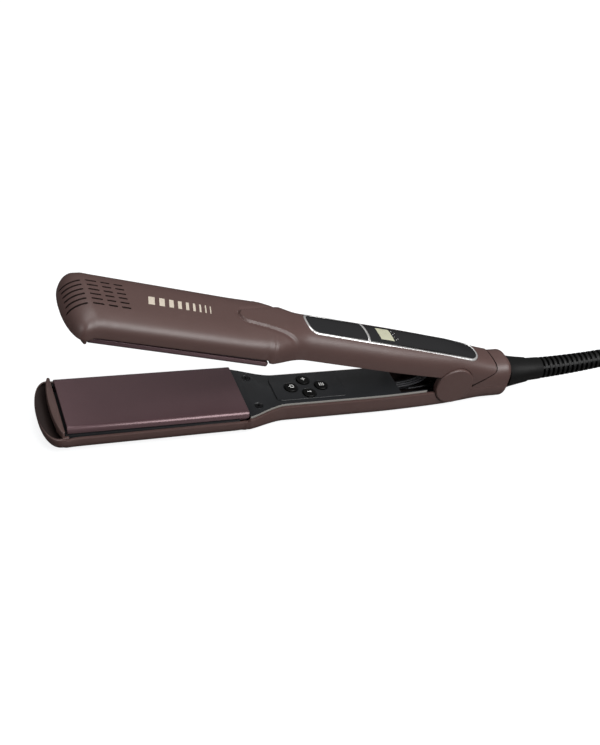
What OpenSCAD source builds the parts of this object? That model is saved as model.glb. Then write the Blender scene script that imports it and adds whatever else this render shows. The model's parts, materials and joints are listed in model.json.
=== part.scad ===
// Wide-plate hair straightener: two hinged arms, floating heated plates and a swivel cord.
// Row frame: +X towards the cord, +Z up, origin on the flat underside of the lower arm.
// Each arm is drawn in an arm frame: x from the hinge axis, z = depth away from the parting plane.

/* [Arms] */
// Hinge axis to the tip of the nose
arm_len = 240; // [230:1:250]
// Angle between the arms when fully open, in degrees
open_angle = 13.6; // [12.6:0.1:13.8]
// Width of the housings behind the nose
body_w = 50; // [49.8:0.1:51]
// Width of the housings where the plates end
neck_w = 48; // [47.8:0.1:49]
// Width of the grip
grip_w = 29; // [28.8:0.1:30]
// Depth of the lower arm from the parting plane to its resting face
lower_depth = 16.4; // [16.2:0.1:17]
// Depth of the upper arm beside the plate
upper_depth = 17.4; // [17.2:0.1:18]
// Depth of the upper arm at the grip
display_depth = 19.4; // [19.2:0.1:19.8]
// Wall thickness of the housings
shell_t = 2; // [1.8:0.1:2.2]

/* [Plates] */
// Width of one heated plate
plate_w = 38; // [37.6:0.1:38.2]
// Length of one heated plate
plate_len = 98.7; // [96:0.1:98.7]
// Hinge axis to the near end of the plate
plate_start = 129.3; // [129.3:0.1:130]
// How far a plate sinks under pressure
plate_travel = 0.8; // [0.4:0.1:0.8]

/* [Controls] */
// Diameter of a button
button_d = 7.2; // [6.8:0.1:7.4]
// Travel of a button
button_travel = 0.6; // [0.3:0.1:0.6]
// Length of the display window
lcd_len = 9; // [7:0.1:9.4]
// Width of the display window
lcd_w = 10.4; // [8:0.1:10.6]

/* [Hinge and collar] */
// Radius of the round caps over the hinge
cap_r = 12; // [11.5:0.1:12]
// Radius of the hinge pin
pin_r = 2.5; // [2:0.1:3]
// Outer radius of the collar
collar_r = 13; // [12.9:0.1:13.2]
// Hinge axis to the end of the collar
collar_end = 40.2; // [40:0.1:42]

/* [Cord] */
// Radius of the mains cord
cord_r = 3.5; // [3:0.1:3.8]
// Length of the ribbed strain relief outside the collar
relief_len = 78; // [70:1:85]
// Length of cord left beyond the strain relief
cord_stub = 42; // [30:1:60]

/* [Hidden] */
$fn = 48;

plum = [0.33, 0.26, 0.26];
plum_satin = [0.36, 0.29, 0.30];
charcoal = [0.17, 0.18, 0.19];
steel = [0.75, 0.75, 0.77];
copper = [0.72, 0.45, 0.30];
ceramic = [0.90, 0.89, 0.85];
board_green = [0.10, 0.35, 0.20];
silicone = [0.75, 0.30, 0.25];

eps = 0.05;              // Working clearance between parts that only touch
run_gap = 0.08;          // Radial clearance of a running fit
hinge_x = arm_len / 2;   // Hinge axis in the row frame
hinge_z = lower_depth;

// Housing outline, in the arm frame
rim = 4.1;               // Depth of the housing edge
nose_round = 10;         // Length of the rounded nose in plan
nose_power = 2.2;        // Squareness of the nose
hood_len = 16;           // Length over which the crown falls to the nose
nose_drop = 2.4;         // Extra depth of the edge at the tip
nose_wall = 4;           // Solid length at the tip
widest_at = 4;           // Distance behind the tip where the housing is widest
neck_a = -135.8;         // Neck between plates and grip
neck_b = -103.8;
taper_a = -52;           // Taper from grip to collar
taper_b = 25;
tail_w = 23.4;           // Width where the arms meet the collar
crown_spare = 0.1;       // Crown height trimmed off to make the resting face flat
collar_drop = 2.9;       // Collar centre below the parting plane
seam_r = 29.6;           // Radius of the curved seam round the hinge
seam_gap = 0.3;
stop_slope = 29;         // Angle of the straight seam where the opened arm stops
stop_depth = 8.4;        // Distance of that seam below the hinge axis
end_r = 4.2;             // Rounding of the collar end
ring_steps = 18;

// Hinge stack, as distances from the middle
spring_half = 4.2;
knuckle_in = 4.5;
knuckle_out = 7.1;
ear_in = 7.4;
ear_out = 9.8;
cap_in = 10;
cap_out = 13.9;
knuckle_r = 7.5;
ear_r = 10;
bush_r = 4.2;
ear_foot = 8;            // Half length of the web under an ear
ear_foot_top = 14.2;
knuckle_foot = 5;        // Half length of the web over a knuckle
lug = [14, 25, 6.8, 8, -4, 11.5];  // Wall that backs the collar: x, y and depth ranges
cap_edge = 0.6;          // Step round the face of a cap

// Opening spring and the wires beside it
spring_r = 5.1;
wire_r = 0.65;
turns = 5.5;
leg = 24;
leg_lean = 8;            // Angle between the upper leg and the arm
wire_y = 1.7;
hinge_wire_r = 0.7;
hinge_path = [[-56, -8], [-24, -6], [-13, 0], [-16, 9], [-28, 15]];
lead_r = 0.8;
supply_y = 3;
supply_path = [[26, 11.5], [10, 11.8], [-30, 12.2], [-58, 12.2]];

// Plate stack, as depths below the parting plane
face_d = 0.05;
plate_round = 3;
plate_wall = 1.6;
plate_side = 2;
plate_base = 6.4;
lip_h = 0.8;
lip_out = 0.7;
rail_top = 4.6;
rail_h = 0.95;
rail_t = 0.8;
rail_in = 0.25;
rail_out = 1.75;
tray_floor = plate_base + plate_travel + 0.2;
tray_t = 1.2;
plate_end = -plate_start - plate_len;
tray_end = neck_a + 1.5;
heater_top = face_d + plate_wall + eps;
heater_t = 1.4;
heater_half = 9;
heater_a = plate_end + 7;
heater_b = -plate_start - 6;
tab_y = 5;               // Contact tabs of the heater
tab_half = 0.6;
tab_len = 5;
clip_t = 0.6;
clip_top = heater_top + heater_t + eps;
clip_a = plate_end + 10;
clip_b = -plate_start - 10;
clip_fold = 2;           // Height of the folded edge of the clip
pad_x = [-212, -144];
pad_r = 3;
fuse_y = 8;
fuse_r = 1.3;
rib_x = [-206, -150];    // Cross ribs under the tray
rib_half = 13;
rib_t = 1.6;

// Nose strip
strip_half = 22.2;
strip_wide = 4.1;
strip_fall = 2.4;
strip_top = 1.4;
strip_chord = plate_end - 1.5;
root_half = 15;          // Tongue that holds the strip in the hollow
root_end = 7.6;

// Inner cover and controls
cover_top = 3;
cover_t = 2;
cover_end = -33;
cover_gap = 0.35;
screw_x = -121;
screw_y = 12;
pad_a = -109;
pad_b = -66.5;
pad_half = 10.2;
pad_t = 0.6;
pad_round = 3;
button_mid = -88.8;
button_dx = 9.2;
button_dy = 5.7;
cover_hole_r = 1.3;
sink_r = 2.5;            // Countersink for a cover screw
screw_head_r = 2.3;
screw_r = 1.1;
screw_tap_r = 1.15;
boss_r = 2.8;
button_spots = [[-button_dx, 0], [0, button_dy], [0, -button_dy], [button_dx, 0]];
button_top = 1.3;
button_base = cover_top + cover_t + eps;
dome_r = 14;
flange_r = 4.3;
flange_t = 0.7;
membrane_top = button_base + flange_t + button_travel + eps;
membrane_t = 0.5;
switch_w = 5.2;
board_top = 9;
board_t = 1.6;
board_tap_r = 1.05;
board_hole_r = 1.2;
board_boss_r = 2.6;
low_board_x = [-109.5, -62.5];
up_board_x = [-84, -20];
roof_d = 16.6;           // Floor of the panel pocket in the crown
roof_t = 2.9;            // Thickness of the upper crown
lcd_x = -58.1;           // Start of the display window
bez_half = 9;
bez_a = -97.5;           // Where the bezel starts to close at each end
bez_b = 4.6;
bez_len = 8;             // Length of each rounded end
bez_pow_a = 0.67;
bez_pow_b = 0.87;
trim_w = 1.3;
bar_x = -106;            // Centre of the arched bar across the bezel
bar_in = 39;
bar_out = 40.6;

// Strain relief
relief_start = collar_end + 0.2;
relief_end = relief_start + relief_len;
base_r = 9;
base_len = 15;
neck_r = 6.4;
rib_start = relief_start + 25.5;
core_r = 4.6;
shaft_r = 4.5;           // Hollow shaft that turns inside the collar
shaft_start = 26;
stop_r = 8.8;            // Flange that keeps the shaft in the collar
stop_start = 34.4;
sleeve_r = 6;
ring_x = [27.6, 31.1];   // Slip rings on the shaft
ring_w = 2;
ring_out = 5;
ring_in = 4.55;
brush_w = 1.2;
ribs = 15;
rib_pitch = 3.4;
rib_r = 6;
rib_taper = 0.07;

function clamp01(t) = max(0, min(1, t));
function ease(a, b, x) = let (t = clamp01((x - a) / (b - a))) t * t * (3 - 2 * t);
function spow(v, e) = sign(v) * pow(abs(v), e);
function bulge(s) = pow(1 - pow(1 - clamp01(s), nose_power), 1 / nose_power);
function mid_w(x) = body_w / 2
  + (neck_w - body_w) / 2 * clamp01((x + arm_len - widest_at) / (arm_len - widest_at + neck_a))
  + (grip_w - neck_w) / 2 * ease(neck_a, neck_b, x)
  + (tail_w - grip_w) / 2 * ease(taper_a, taper_b, x);
function half_w(x, tip) = mid_w(x) * bulge((x + tip) / nose_round);
function rim_at(x) = rim + nose_drop * pow(1 - clamp01((x + arm_len) / hood_len), 2);
function end_round(x) = let (s = max(0, x - collar_end + end_r))
  end_r - sqrt(max(0, end_r * end_r - s * s));

// Crown depth, section centre and squareness of each arm
function low_crown(x) = lower_depth + crown_spare
  + (collar_r + collar_drop - lower_depth - crown_spare) * ease(-20, 34, x);
function low_mid(x) = rim + (collar_drop - rim) * ease(-14, 8, x);
function low_square(x) = 2.67 + 2.4 * ease(neck_a, neck_b, x) - 2.1 * ease(-6, taper_b, x);
function up_crown(x) = upper_depth + (display_depth - upper_depth) * ease(-150, -100, x)
  - 2.3 * ease(-10, taper_b, x);
function up_mid(x) = rim + 1.4 * ease(0, taper_b, x);
function up_square(x) = 2.96 + 0.2 * ease(neck_a, neck_b, x);

// One cross-section: a rounded arch of half-width w from depth zr round a centre zb to height hh
function arch(x, w, zb, hh, n, zr, steps) =
  let (a0 = sign(zr - zb) * asin(pow(min(1, abs(zr - zb) / hh), n / 2)))
  [for (k = [0:steps]) let (a = a0 + (180 - 2 * a0) * k / steps)
    [x, w * spow(cos(a), 2 / n), zb + hh * spow(sin(a), 2 / n)]];

function low_ring(x, t, tip, zr, steps) = let (b = low_mid(x), e = end_round(x))
  arch(x, half_w(x, tip) - t - e, max(b, rim_at(x) - (rim - b)),
    max(0.4, (low_crown(x) - b) * bulge((x + tip) / hood_len) - t - e), low_square(x),
    zr + rim_at(x) - rim, steps);
function up_ring(x, t, roof, tip, zr, steps) = let (b = up_mid(x) + rim_at(x) - rim)
  arch(x, half_w(x, tip) - t, b, max(0.4, (up_crown(x) - up_mid(x)) * bulge((x + tip) / hood_len) - roof),
    up_square(x), zr - 2.4 * ease(-12, 8, x) + rim_at(x) - rim, steps);
function collar_ring(x, t, steps) = let (e = end_round(x))
  arch(x, mid_w(x) - t - e, -collar_drop, collar_r - t - e, low_square(x),
    -rim - (t > 0 ? 1.5 : 0), steps);

// Ventilation slots of one row: distance from the nose tip, length, depth of the cut
vent_pitch = 3.9;
vent_w = 1.3;
vent_reach = 12;
vent_slots = [[11.5, 6, 4], [19.5, 5, 3.2], [26.5, 5, 3.2]];
nose_slot = [3.2, 5.6, 8];

// Lengthwise stations
nose_x = [for (d = [0.15, 0.6, 1.4, 2.6, 4.3, 6.4, 9, 12, 16]) d - arm_len];
cavity_at = 4;           // Station where the hollow starts, just inside the nose wall
neck_x = [for (i = [0:7]) neck_a + (neck_b - neck_a) * i / 7];
taper_x = [for (i = [0:7]) taper_a + (taper_b - taper_a) * i / 7];
collar_x = [for (a = [0:22.5:90]) collar_end - end_r + end_r * sin(a)];
end_wall = collar_x[1];  // Inner face of the collar end
outer_x = concat(nose_x, [-190, -150], neck_x, [-80], taper_x);

function outward(faces) = [for (f = faces) [f[2], f[1], f[0]]];
// A closed solid through a list of rings with the same number of points
module loft(rings) {
  m = len(rings[0]);
  n = len(rings);
  points = [for (r = rings) each r];
  sides = [for (i = [0:n - 2], k = [0:m - 1]) let (a = i * m + k, b = i * m + (k + 1) % m)
    each [[a, b, b + m], [a, b + m, a + m]]];
  ends = [for (k = [1:m - 2]) each [[0, k + 1, k], [(n - 1) * m, (n - 1) * m + k, (n - 1) * m + k + 1]]];
  polyhedron(points, outward(concat(sides, ends)), convexity = 10);
}
// An open-bottomed shell: outer arches all along, inner arches from station a to b, solid beyond them
module shell(outer, inner, a, b) {
  m = len(outer[0]);
  n = len(outer);
  q = n * m;
  points = concat([for (r = outer) each r], [for (r = inner) each r]);
  function o(i, k) = i * m + k;
  function c(i, k) = q + (i - a) * m + k;
  skin = [for (i = [0:n - 2], k = [0:m - 2])
    each [[o(i, k), o(i, k + 1), o(i + 1, k + 1)], [o(i, k), o(i + 1, k + 1), o(i + 1, k)]]];
  lining = [for (i = [a:b - 1], k = [0:m - 2])
    each [[c(i, k), c(i + 1, k + 1), c(i, k + 1)], [c(i, k), c(i + 1, k), c(i + 1, k + 1)]]];
  z = m - 1;
  shelf = [for (i = [0:n - 2]) if (i < a - 1 || i > b)
    each [[o(i, 0), o(i + 1, 0), o(i + 1, z)], [o(i, 0), o(i + 1, z), o(i, z)]]];
  rims = [for (i = [a:b - 1])
    each [[o(i, 0), o(i + 1, 0), c(i + 1, 0)], [o(i, 0), c(i + 1, 0), c(i, 0)],
      [o(i, z), c(i, z), c(i + 1, z)], [o(i, z), c(i + 1, z), o(i + 1, z)]]];
  near = [[o(a - 1, 0), o(a, 0), c(a, 0)], [o(a - 1, 0), c(a, 0), c(a, z)],
    [o(a - 1, 0), c(a, z), o(a, z)], [o(a - 1, 0), o(a, z), o(a - 1, z)]];
  far = b < n - 1
    ? [[o(b + 1, 0), c(b, 0), o(b, 0)], [o(b + 1, 0), c(b, z), c(b, 0)],
      [o(b + 1, 0), o(b, z), c(b, z)], [o(b + 1, 0), o(b + 1, z), o(b, z)]]
    : [for (k = [0:m - 2]) each [[o(b, k), o(b, k + 1), c(b, k + 1)], [o(b, k), c(b, k + 1), c(b, k)]]];
  walls = concat([for (k = [1:m - 2]) [c(a, 0), c(a, k), c(a, k + 1)]],
    b < n - 1 ? [for (k = [1:m - 2]) [c(b, 0), c(b, k + 1), c(b, k)]] : []);
  ends = concat([for (k = [1:m - 2]) [o(0, 0), o(0, k + 1), o(0, k)]],
    b < n - 1 ? [for (k = [1:m - 2]) [o(n - 1, 0), o(n - 1, k), o(n - 1, k + 1)]] : []);
  polyhedron(points, outward(concat(skin, lining, shelf, rims, near, far, walls, ends)), convexity = 10);
}

// Frames
module lower_arm() {
  translate([hinge_x, 0, hinge_z]) mirror([0, 0, 1]) children();
}
module upper_arm() {
  translate([hinge_x, 0, hinge_z]) rotate([0, open_angle, 0]) children();
}
module at_hinge() {
  translate([hinge_x, 0, hinge_z]) children();
}
// A profile drawn in (y, depth), run from x0 to x1
module along_x(x0, x1) {
  translate([x0, 0, 0]) rotate([90, 0, 90]) linear_extrude(x1 - x0) children();
}
// A profile drawn in (x, z), run across from y0 to y1
module across_y(y0, y1) {
  translate([0, y1, 0]) rotate([90, 0, 0]) linear_extrude(y1 - y0) children();
}
module rod_y(r, y0, y1) {
  translate([0, y1, 0]) rotate([90, 0, 0]) cylinder(r = r, h = y1 - y0);
}
module rod_x(r, x0, x1) {
  translate([x0, 0, 0]) rotate([0, 90, 0]) cylinder(r = r, h = x1 - x0);
}
module block(x0, x1, y0, y1, z0, z1) {
  translate([x0, y0, z0]) cube([x1 - x0, y1 - y0, z1 - z0]);
}
module both_sides() {
  children();
  mirror([0, 1, 0]) children();
}
// Smooth curve through control points, and a round tube along a path
function bend(p, t) = let (n = len(p) - 1, i = min(n - 1, floor(t)), u = t - i,
  a = p[max(0, i - 1)], b = p[i], c = p[i + 1], d = p[min(n, i + 2)])
  0.5 * (2 * b + (c - a) * u + (2 * a - 5 * b + 4 * c - d) * u * u + (3 * b - a - 3 * c + d) * u * u * u);
function curve(p, parts) = [for (i = [0:(len(p) - 1) * parts]) bend(p, i / parts)];
module tube(path, r, sides) {
  n = len(path) - 1;
  loft([for (i = [0:n])
    let (d = path[min(i + 1, n)] - path[max(i - 1, 0)], u = d / norm(d), c = cross(u, [0, 1, 0]),
      w = c / norm(c), q = cross(w, u))
    [for (k = [0:sides - 1]) path[i] + r * (cos(360 * k / sides) * q + sin(360 * k / sides) * w)]]);
}
module lead(r, points) {
  tube(curve(points, 4), r, 8);
}

// Features shared by both housings
module vents(depth, slots) {
  for (row = [-2.5:1:2.5], slot = slots)
    translate([slot[0] - arm_len, row * vent_pitch - vent_w / 2, depth - slot[2]])
      cube([slot[1], vent_w, vent_reach]);
}
module cap_pockets() {
  both_sides() rod_y(cap_r + seam_gap, ear_out + 0.1, body_w);
}
module tray_ribs(top) {
  for (x = rib_x) block(x, x + rib_t, -rib_half, rib_half, tray_floor + tray_t + eps, top);
}
module cover_bosses(top) {
  both_sides() translate([screw_x, screw_y, cover_top + cover_t + eps])
    cylinder(r = boss_r, h = top - cover_top - cover_t);
}
module board_bosses(xs, top) {
  for (x = xs) translate([x, 0, board_top + board_t + eps])
    cylinder(r = board_boss_r, h = top - board_top - board_t);
}
module screw_holes(xs) {
  both_sides() translate([screw_x, screw_y, cover_top]) cylinder(r = screw_tap_r, h = 9);
  for (x = xs) translate([x, 0, board_top]) cylinder(r = board_tap_r, h = 5);
}

// Half-plane above the straight seam, in the hinge frame, over the reach of the curved seam
module tail_zone(r, drop) {
  intersection() {
    circle(r = r, $fn = 96);
    rotate(stop_slope) translate([-60, -stop_depth - drop]) square([120, 60]);
  }
}

module lower_housing() {
  xs = concat(outer_x, [32], collar_x);
  last = len(outer_x) + 2;
  color(plum) lower_arm() difference() {
    union() {
      difference() {
        difference() {
          difference() {
            shell([for (x = xs) low_ring(x, 0, arm_len, rim, ring_steps)],
              [for (i = [cavity_at:last])
                low_ring(xs[i], shell_t, arm_len - nose_wall, rim, ring_steps)],
              cavity_at, last);
            cap_pockets();
          }
          block(-arm_len, 60, -30, 30, lower_depth, 30);
        }
        vents(lower_depth, vent_slots);
      }
      tray_ribs(lower_depth - 1);
      cover_bosses(lower_depth - 2.5);
      board_bosses(low_board_x, lower_depth - 1);
      both_sides() rod_y(ear_r, ear_in, ear_out);
      both_sides() block(-ear_foot, ear_foot, ear_in, ear_out, 0, ear_foot_top);
      both_sides() block(lug[0], lug[1], lug[2], lug[3], lug[4], lug[5]);
    }
    rod_y(pin_r + 0.02, -20, 20);
    screw_holes(low_board_x);
    translate([0, 0, collar_drop]) rod_x(sleeve_r + run_gap, 30, 50);
  }
}

module collar_cover() {
  color(plum) at_hinge() difference() {
    difference() {
      difference() {
        difference() {
          loft([for (x = concat([10, 14, 18, 22, 26, 32], collar_x)) collar_ring(x, 0, ring_steps)]);
          loft([for (x = [9, 18, 26, 32, end_wall]) collar_ring(x, shell_t, 12)]);
        }
        across_y(-20, 20) tail_zone(seam_r, 0);
      }
      rod_y(cap_r + seam_gap, -20, 20);
    }
    translate([0, 0, -collar_drop]) rod_x(sleeve_r + run_gap, 30, 50);
    block(0, 60, -20, 20, -20, -rim + eps);
  }
}

module upper_housing() {
  xs = concat(outer_x, [30]);
  last = len(xs) - 1;
  color(plum) upper_arm() difference() {
    union() {
      difference() {
        difference() {
          difference() {
            shell([for (x = xs) up_ring(x, 0, 0, arm_len, rim, ring_steps)],
              [for (i = [cavity_at:last])
                up_ring(xs[i], shell_t, roof_t, arm_len - nose_wall, rim, ring_steps)],
              cavity_at, last);
            cap_pockets();
          }
          rotate([0, -open_angle, 0]) across_y(-30, 30) difference() {
            translate([4, -40]) square([60, 80]);
            tail_zone(seam_r - seam_gap, -0.15);
          }
        }
        vents(upper_depth, concat([nose_slot], vent_slots));
      }
      tray_ribs(upper_depth - 2);
      cover_bosses(upper_depth - 2.5);
      board_bosses(up_board_x, roof_d);
      both_sides() rod_y(knuckle_r, knuckle_in, knuckle_out);
      both_sides() block(-knuckle_foot, knuckle_foot, knuckle_in, knuckle_out, 0, roof_d);
    }
    rod_y(bush_r + 0.02, -20, 20);
    screw_holes(up_board_x);
    translate([0, 0, roof_d]) linear_extrude(6) polygon(bezel_outline(eps));
    block(lcd_x - 0.3, lcd_x + lcd_len + 0.3, -lcd_w / 2 - 0.3, lcd_w / 2 + 0.3, 10, roof_d + 1);
  }
}

// Black covers facing each other inside the grip
module inner_cover(holes) {
  xs = [for (i = [0:14]) -plate_start + 1 + (neck_b + plate_start + 4) * i / 14];
  edge = [for (x = xs) [x, mid_w(x) - shell_t - cover_gap]];
  half = concat(edge, [[cover_end, grip_w / 2 - shell_t - cover_gap - 0.4]]);
  far = [for (i = [len(half) - 1:-1:0]) [half[i][0], -half[i][1]]];
  difference() {
    translate([0, 0, cover_top]) linear_extrude(cover_t) polygon(concat(half, far));
    both_sides() translate([screw_x, screw_y, cover_top - 1]) cylinder(r = cover_hole_r, h = 6);
    both_sides() translate([screw_x, screw_y, cover_top - eps])
      cylinder(r1 = sink_r, r2 = cover_hole_r, h = 1.3);
    if (holes) button_bores(cover_top - 1, 4);
  }
}
module lower_inner_cover() {
  color(charcoal) lower_arm() inner_cover(true);
}
module upper_inner_cover() {
  color(charcoal) upper_arm() inner_cover(false);
}

// Crescent strip that closes the gap between plate and nose, held by a tongue in the hollow
module nose_strip() {
  outer = [for (i = [-10:10])
    [strip_chord - strip_wide + strip_fall * pow(abs(i) / 10, nose_power), strip_half * i / 10]];
  translate([0, 0, strip_top]) linear_extrude(rim - 0.3 - strip_top)
    polygon(concat([[strip_chord, -strip_half]], outer, [[strip_chord, strip_half]]));
  block(strip_chord - 2.4, strip_chord - 0.1, -root_half, root_half, rim - 0.4, root_end);
}
module lower_nose_strip() {
  color(plum) lower_arm() nose_strip();
}
module upper_nose_strip() {
  color(plum) upper_arm() nose_strip();
}

// Heat-resistant tray that a plate floats in
module plate_tray() {
  half = plate_w / 2;
  along_x(plate_end - 0.4, tray_end) {
    translate([-half - rail_out, tray_floor]) square([plate_w + 2 * rail_out, tray_t]);
    for (s = [0, 1]) mirror([s, 0]) {
      translate([half + rail_out - rail_t, rail_top]) square([rail_t, tray_floor + tray_t - rail_top]);
      translate([half + rail_in, rail_top]) square([rail_out - rail_in, rail_h]);
    }
  }
}
module lower_plate_tray() {
  color(charcoal) lower_arm() plate_tray();
}
module upper_plate_tray() {
  color(charcoal) upper_arm() plate_tray();
}

// Heated plate: a shallow channel with rounded long edges and retaining lips
module plate() {
  half = plate_w / 2;
  along_x(plate_end, -plate_start) difference() {
    union() {
      translate([-half + plate_round, face_d]) square([plate_w - 2 * plate_round, plate_base - face_d]);
      translate([-half, face_d + plate_round]) square([plate_w, plate_base - face_d - plate_round]);
      for (s = [-1, 1]) translate([s * (half - plate_round), face_d + plate_round]) circle(r = plate_round);
      translate([-half - lip_out, plate_base - lip_h]) square([plate_w + 2 * lip_out, lip_h]);
    }
    translate([-half + plate_side, face_d + plate_wall]) square([plate_w - 2 * plate_side, plate_base]);
  }
}
module lower_plate() {
  color(plum_satin) lower_arm() plate();
}
module upper_plate() {
  color(plum_satin) upper_arm() plate();
}

module heater() {
  block(heater_a, heater_b, -heater_half, heater_half, heater_top, heater_top + heater_t);
  for (y = [-tab_y, tab_y])
    block(heater_b, heater_b + tab_len, y - tab_half, y + tab_half, heater_top + 0.3, heater_top + 0.9);
}
module lower_heater() {
  color(ceramic) lower_arm() heater();
}
module upper_heater() {
  color(ceramic) upper_arm() heater();
}

// Spring-steel clip that presses the heater on the plate
module heater_clip() {
  half = plate_w / 2 - plate_side - 0.2;
  block(clip_a, clip_b, -half, half, clip_top, clip_top + clip_t);
  both_sides() block(clip_a, clip_b, half - clip_t, half, clip_top, clip_top + clip_fold);
}
module lower_heater_clip() {
  color(steel) lower_arm() heater_clip();
}
module upper_heater_clip() {
  color(steel) upper_arm() heater_clip();
}

module float_pads() {
  for (x = pad_x) translate([x, 0, clip_top + clip_t + eps])
    cylinder(r = pad_r, h = tray_floor - clip_top - clip_t - 2 * eps);
}
module lower_float_pads() {
  color(silicone) lower_arm() float_pads();
}
module upper_float_pads() {
  color(silicone) upper_arm() float_pads();
}

module thermal_fuse() {
  translate([0, fuse_y, clip_top + clip_t + fuse_r + 0.25]) {
    rod_x(fuse_r, -186, -174);
    rod_x(0.4, -192, -168);
  }
}
module lower_thermal_fuse() {
  color(steel) lower_arm() thermal_fuse();
}
module upper_thermal_fuse() {
  color(steel) upper_arm() thermal_fuse();
}

module heater_wires(end_x) {
  for (s = [-1, 1]) lead(lead_r, [
    [-plate_start + 0.6, s * tab_y, 6.6],
    [-122, s * tab_y, 11.9],
    [end_x, s * (tab_y + 1), board_top + board_t + lead_r + 0.15]
  ]);
}
module lower_heater_wires() {
  color(silicone) lower_arm() heater_wires(-103);
}
module upper_heater_wires() {
  color(silicone) upper_arm() heater_wires(-80);
}

module screw(head_top, head_r, head_h, shank_r, tip) {
  translate([0, 0, head_top]) cylinder(r = head_r, h = head_h);
  translate([0, 0, head_top]) cylinder(r = shank_r, h = tip - head_top);
}
module cover_screws() {
  both_sides() translate([screw_x, screw_y, 0]) {
    translate([0, 0, cover_top + 0.1]) cylinder(r1 = screw_head_r, r2 = screw_r, h = 1.2);
    translate([0, 0, cover_top + 0.1]) cylinder(r = screw_r, h = 8);
  }
}
module lower_cover_screws() {
  color(charcoal) lower_arm() cover_screws();
}
module upper_cover_screws() {
  color(charcoal) upper_arm() cover_screws();
}

// Controls on the inner face of the lower arm
module button_bores(z, h) {
  for (p = button_spots) translate([button_mid + p[0], p[1], z])
    cylinder(r = button_d / 2 + run_gap, h = h);
}
module control_pad() {
  r = pad_round;
  color(charcoal) lower_arm() difference() {
    translate([0, 0, cover_top - pad_t]) linear_extrude(pad_t - 0.01) {
      translate([pad_a + r, -pad_half]) square([pad_b - pad_a - 2 * r, 2 * pad_half]);
      translate([pad_a, -pad_half + r]) square([pad_b - pad_a, 2 * (pad_half - r)]);
      for (x = [pad_a + r, pad_b - r], y = [-1, 1]) translate([x, y * (pad_half - r)]) circle(r = r);
    }
    button_bores(0, 4);
  }
}
module button(i) {
  p = button_spots[i];
  color(charcoal) lower_arm() translate([button_mid + p[0], p[1], 0]) {
    intersection() {
      translate([0, 0, button_top]) cylinder(r = button_d / 2, h = button_base + 0.2 - button_top);
      translate([0, 0, button_top + dome_r]) sphere(r = dome_r, $fn = 64);
    }
    translate([0, 0, button_base]) cylinder(r = flange_r, h = flange_t);
  }
}
module power_button() {
  button(0);
}
module plus_button() {
  button(1);
}
module minus_button() {
  button(2);
}
module mode_button() {
  button(3);
}
module button_membrane() {
  color(silicone) lower_arm() block(-106, -71, -10.8, 10.8, membrane_top, membrane_top + membrane_t);
}
module tact_switches() {
  low = membrane_top + membrane_t + eps;
  color(steel) lower_arm() for (p = button_spots)
    translate([button_mid + p[0] - switch_w / 2, p[1] - switch_w / 2, low])
      cube([switch_w, switch_w, board_top - eps - low]);
}
module control_board() {
  color(board_green) lower_arm() difference() {
    block(-112, -60, -11, 11, board_top, board_top + board_t);
    for (x = low_board_x) translate([x, 0, 0]) cylinder(r = board_hole_r, h = 20);
  }
}
module control_board_screws() {
  color(steel) lower_arm() for (x = low_board_x) translate([x, 0, 0])
    screw(board_top - 1.3, 2, 1.25, 1, board_top + 4.5);
}

// Hinge
module hinge_pin() {
  color(steel) at_hinge() rod_y(pin_r, -ear_out, ear_out);
}
module cap() {
  rod_y(cap_r, cap_in, cap_out - cap_edge);
  rod_y(cap_r - cap_edge, cap_out - cap_edge - 0.1, cap_out);
}
module hinge_cap_left() {
  color(plum) at_hinge() mirror([0, 1, 0]) cap();
}
module hinge_cap_right() {
  color(plum) at_hinge() cap();
}
module hinge_bushes() {
  color(copper) at_hinge() both_sides() difference() {
    rod_y(bush_r, knuckle_in, knuckle_out);
    rod_y(pin_r + run_gap - 0.03, 0, 20);
  }
}
// Torsion spring round the pin: a coil with a leg on each arm
function coil_point(i, n) = let (a = 180 + 360 * turns * i / n)
  [spring_r * sin(a), -spring_half + 1 + (2 * spring_half - 2) * i / n, spring_r * cos(a)];
module opening_spring() {
  n = 100;
  core = [for (i = [0:n]) coil_point(i, n)];
  up_dir = [-cos(open_angle - leg_lean), 0, sin(open_angle - leg_lean)];
  path = concat([core[0] + leg * [-1, 0, -0.1]], core, [core[n] + leg * up_dir]);
  color(steel) at_hinge() tube(path, wire_r, 6);
}
module hinge_wires() {
  color(silicone) at_hinge() for (y = [-wire_y, 0, wire_y])
    lead(hinge_wire_r, [for (p = hinge_path) [p[0], y, p[1]]]);
}
module supply_wires() {
  color(copper) lower_arm() for (y = [-supply_y, supply_y])
    lead(lead_r, [for (p = supply_path) [p[0], y, p[1]]]);
}

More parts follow.
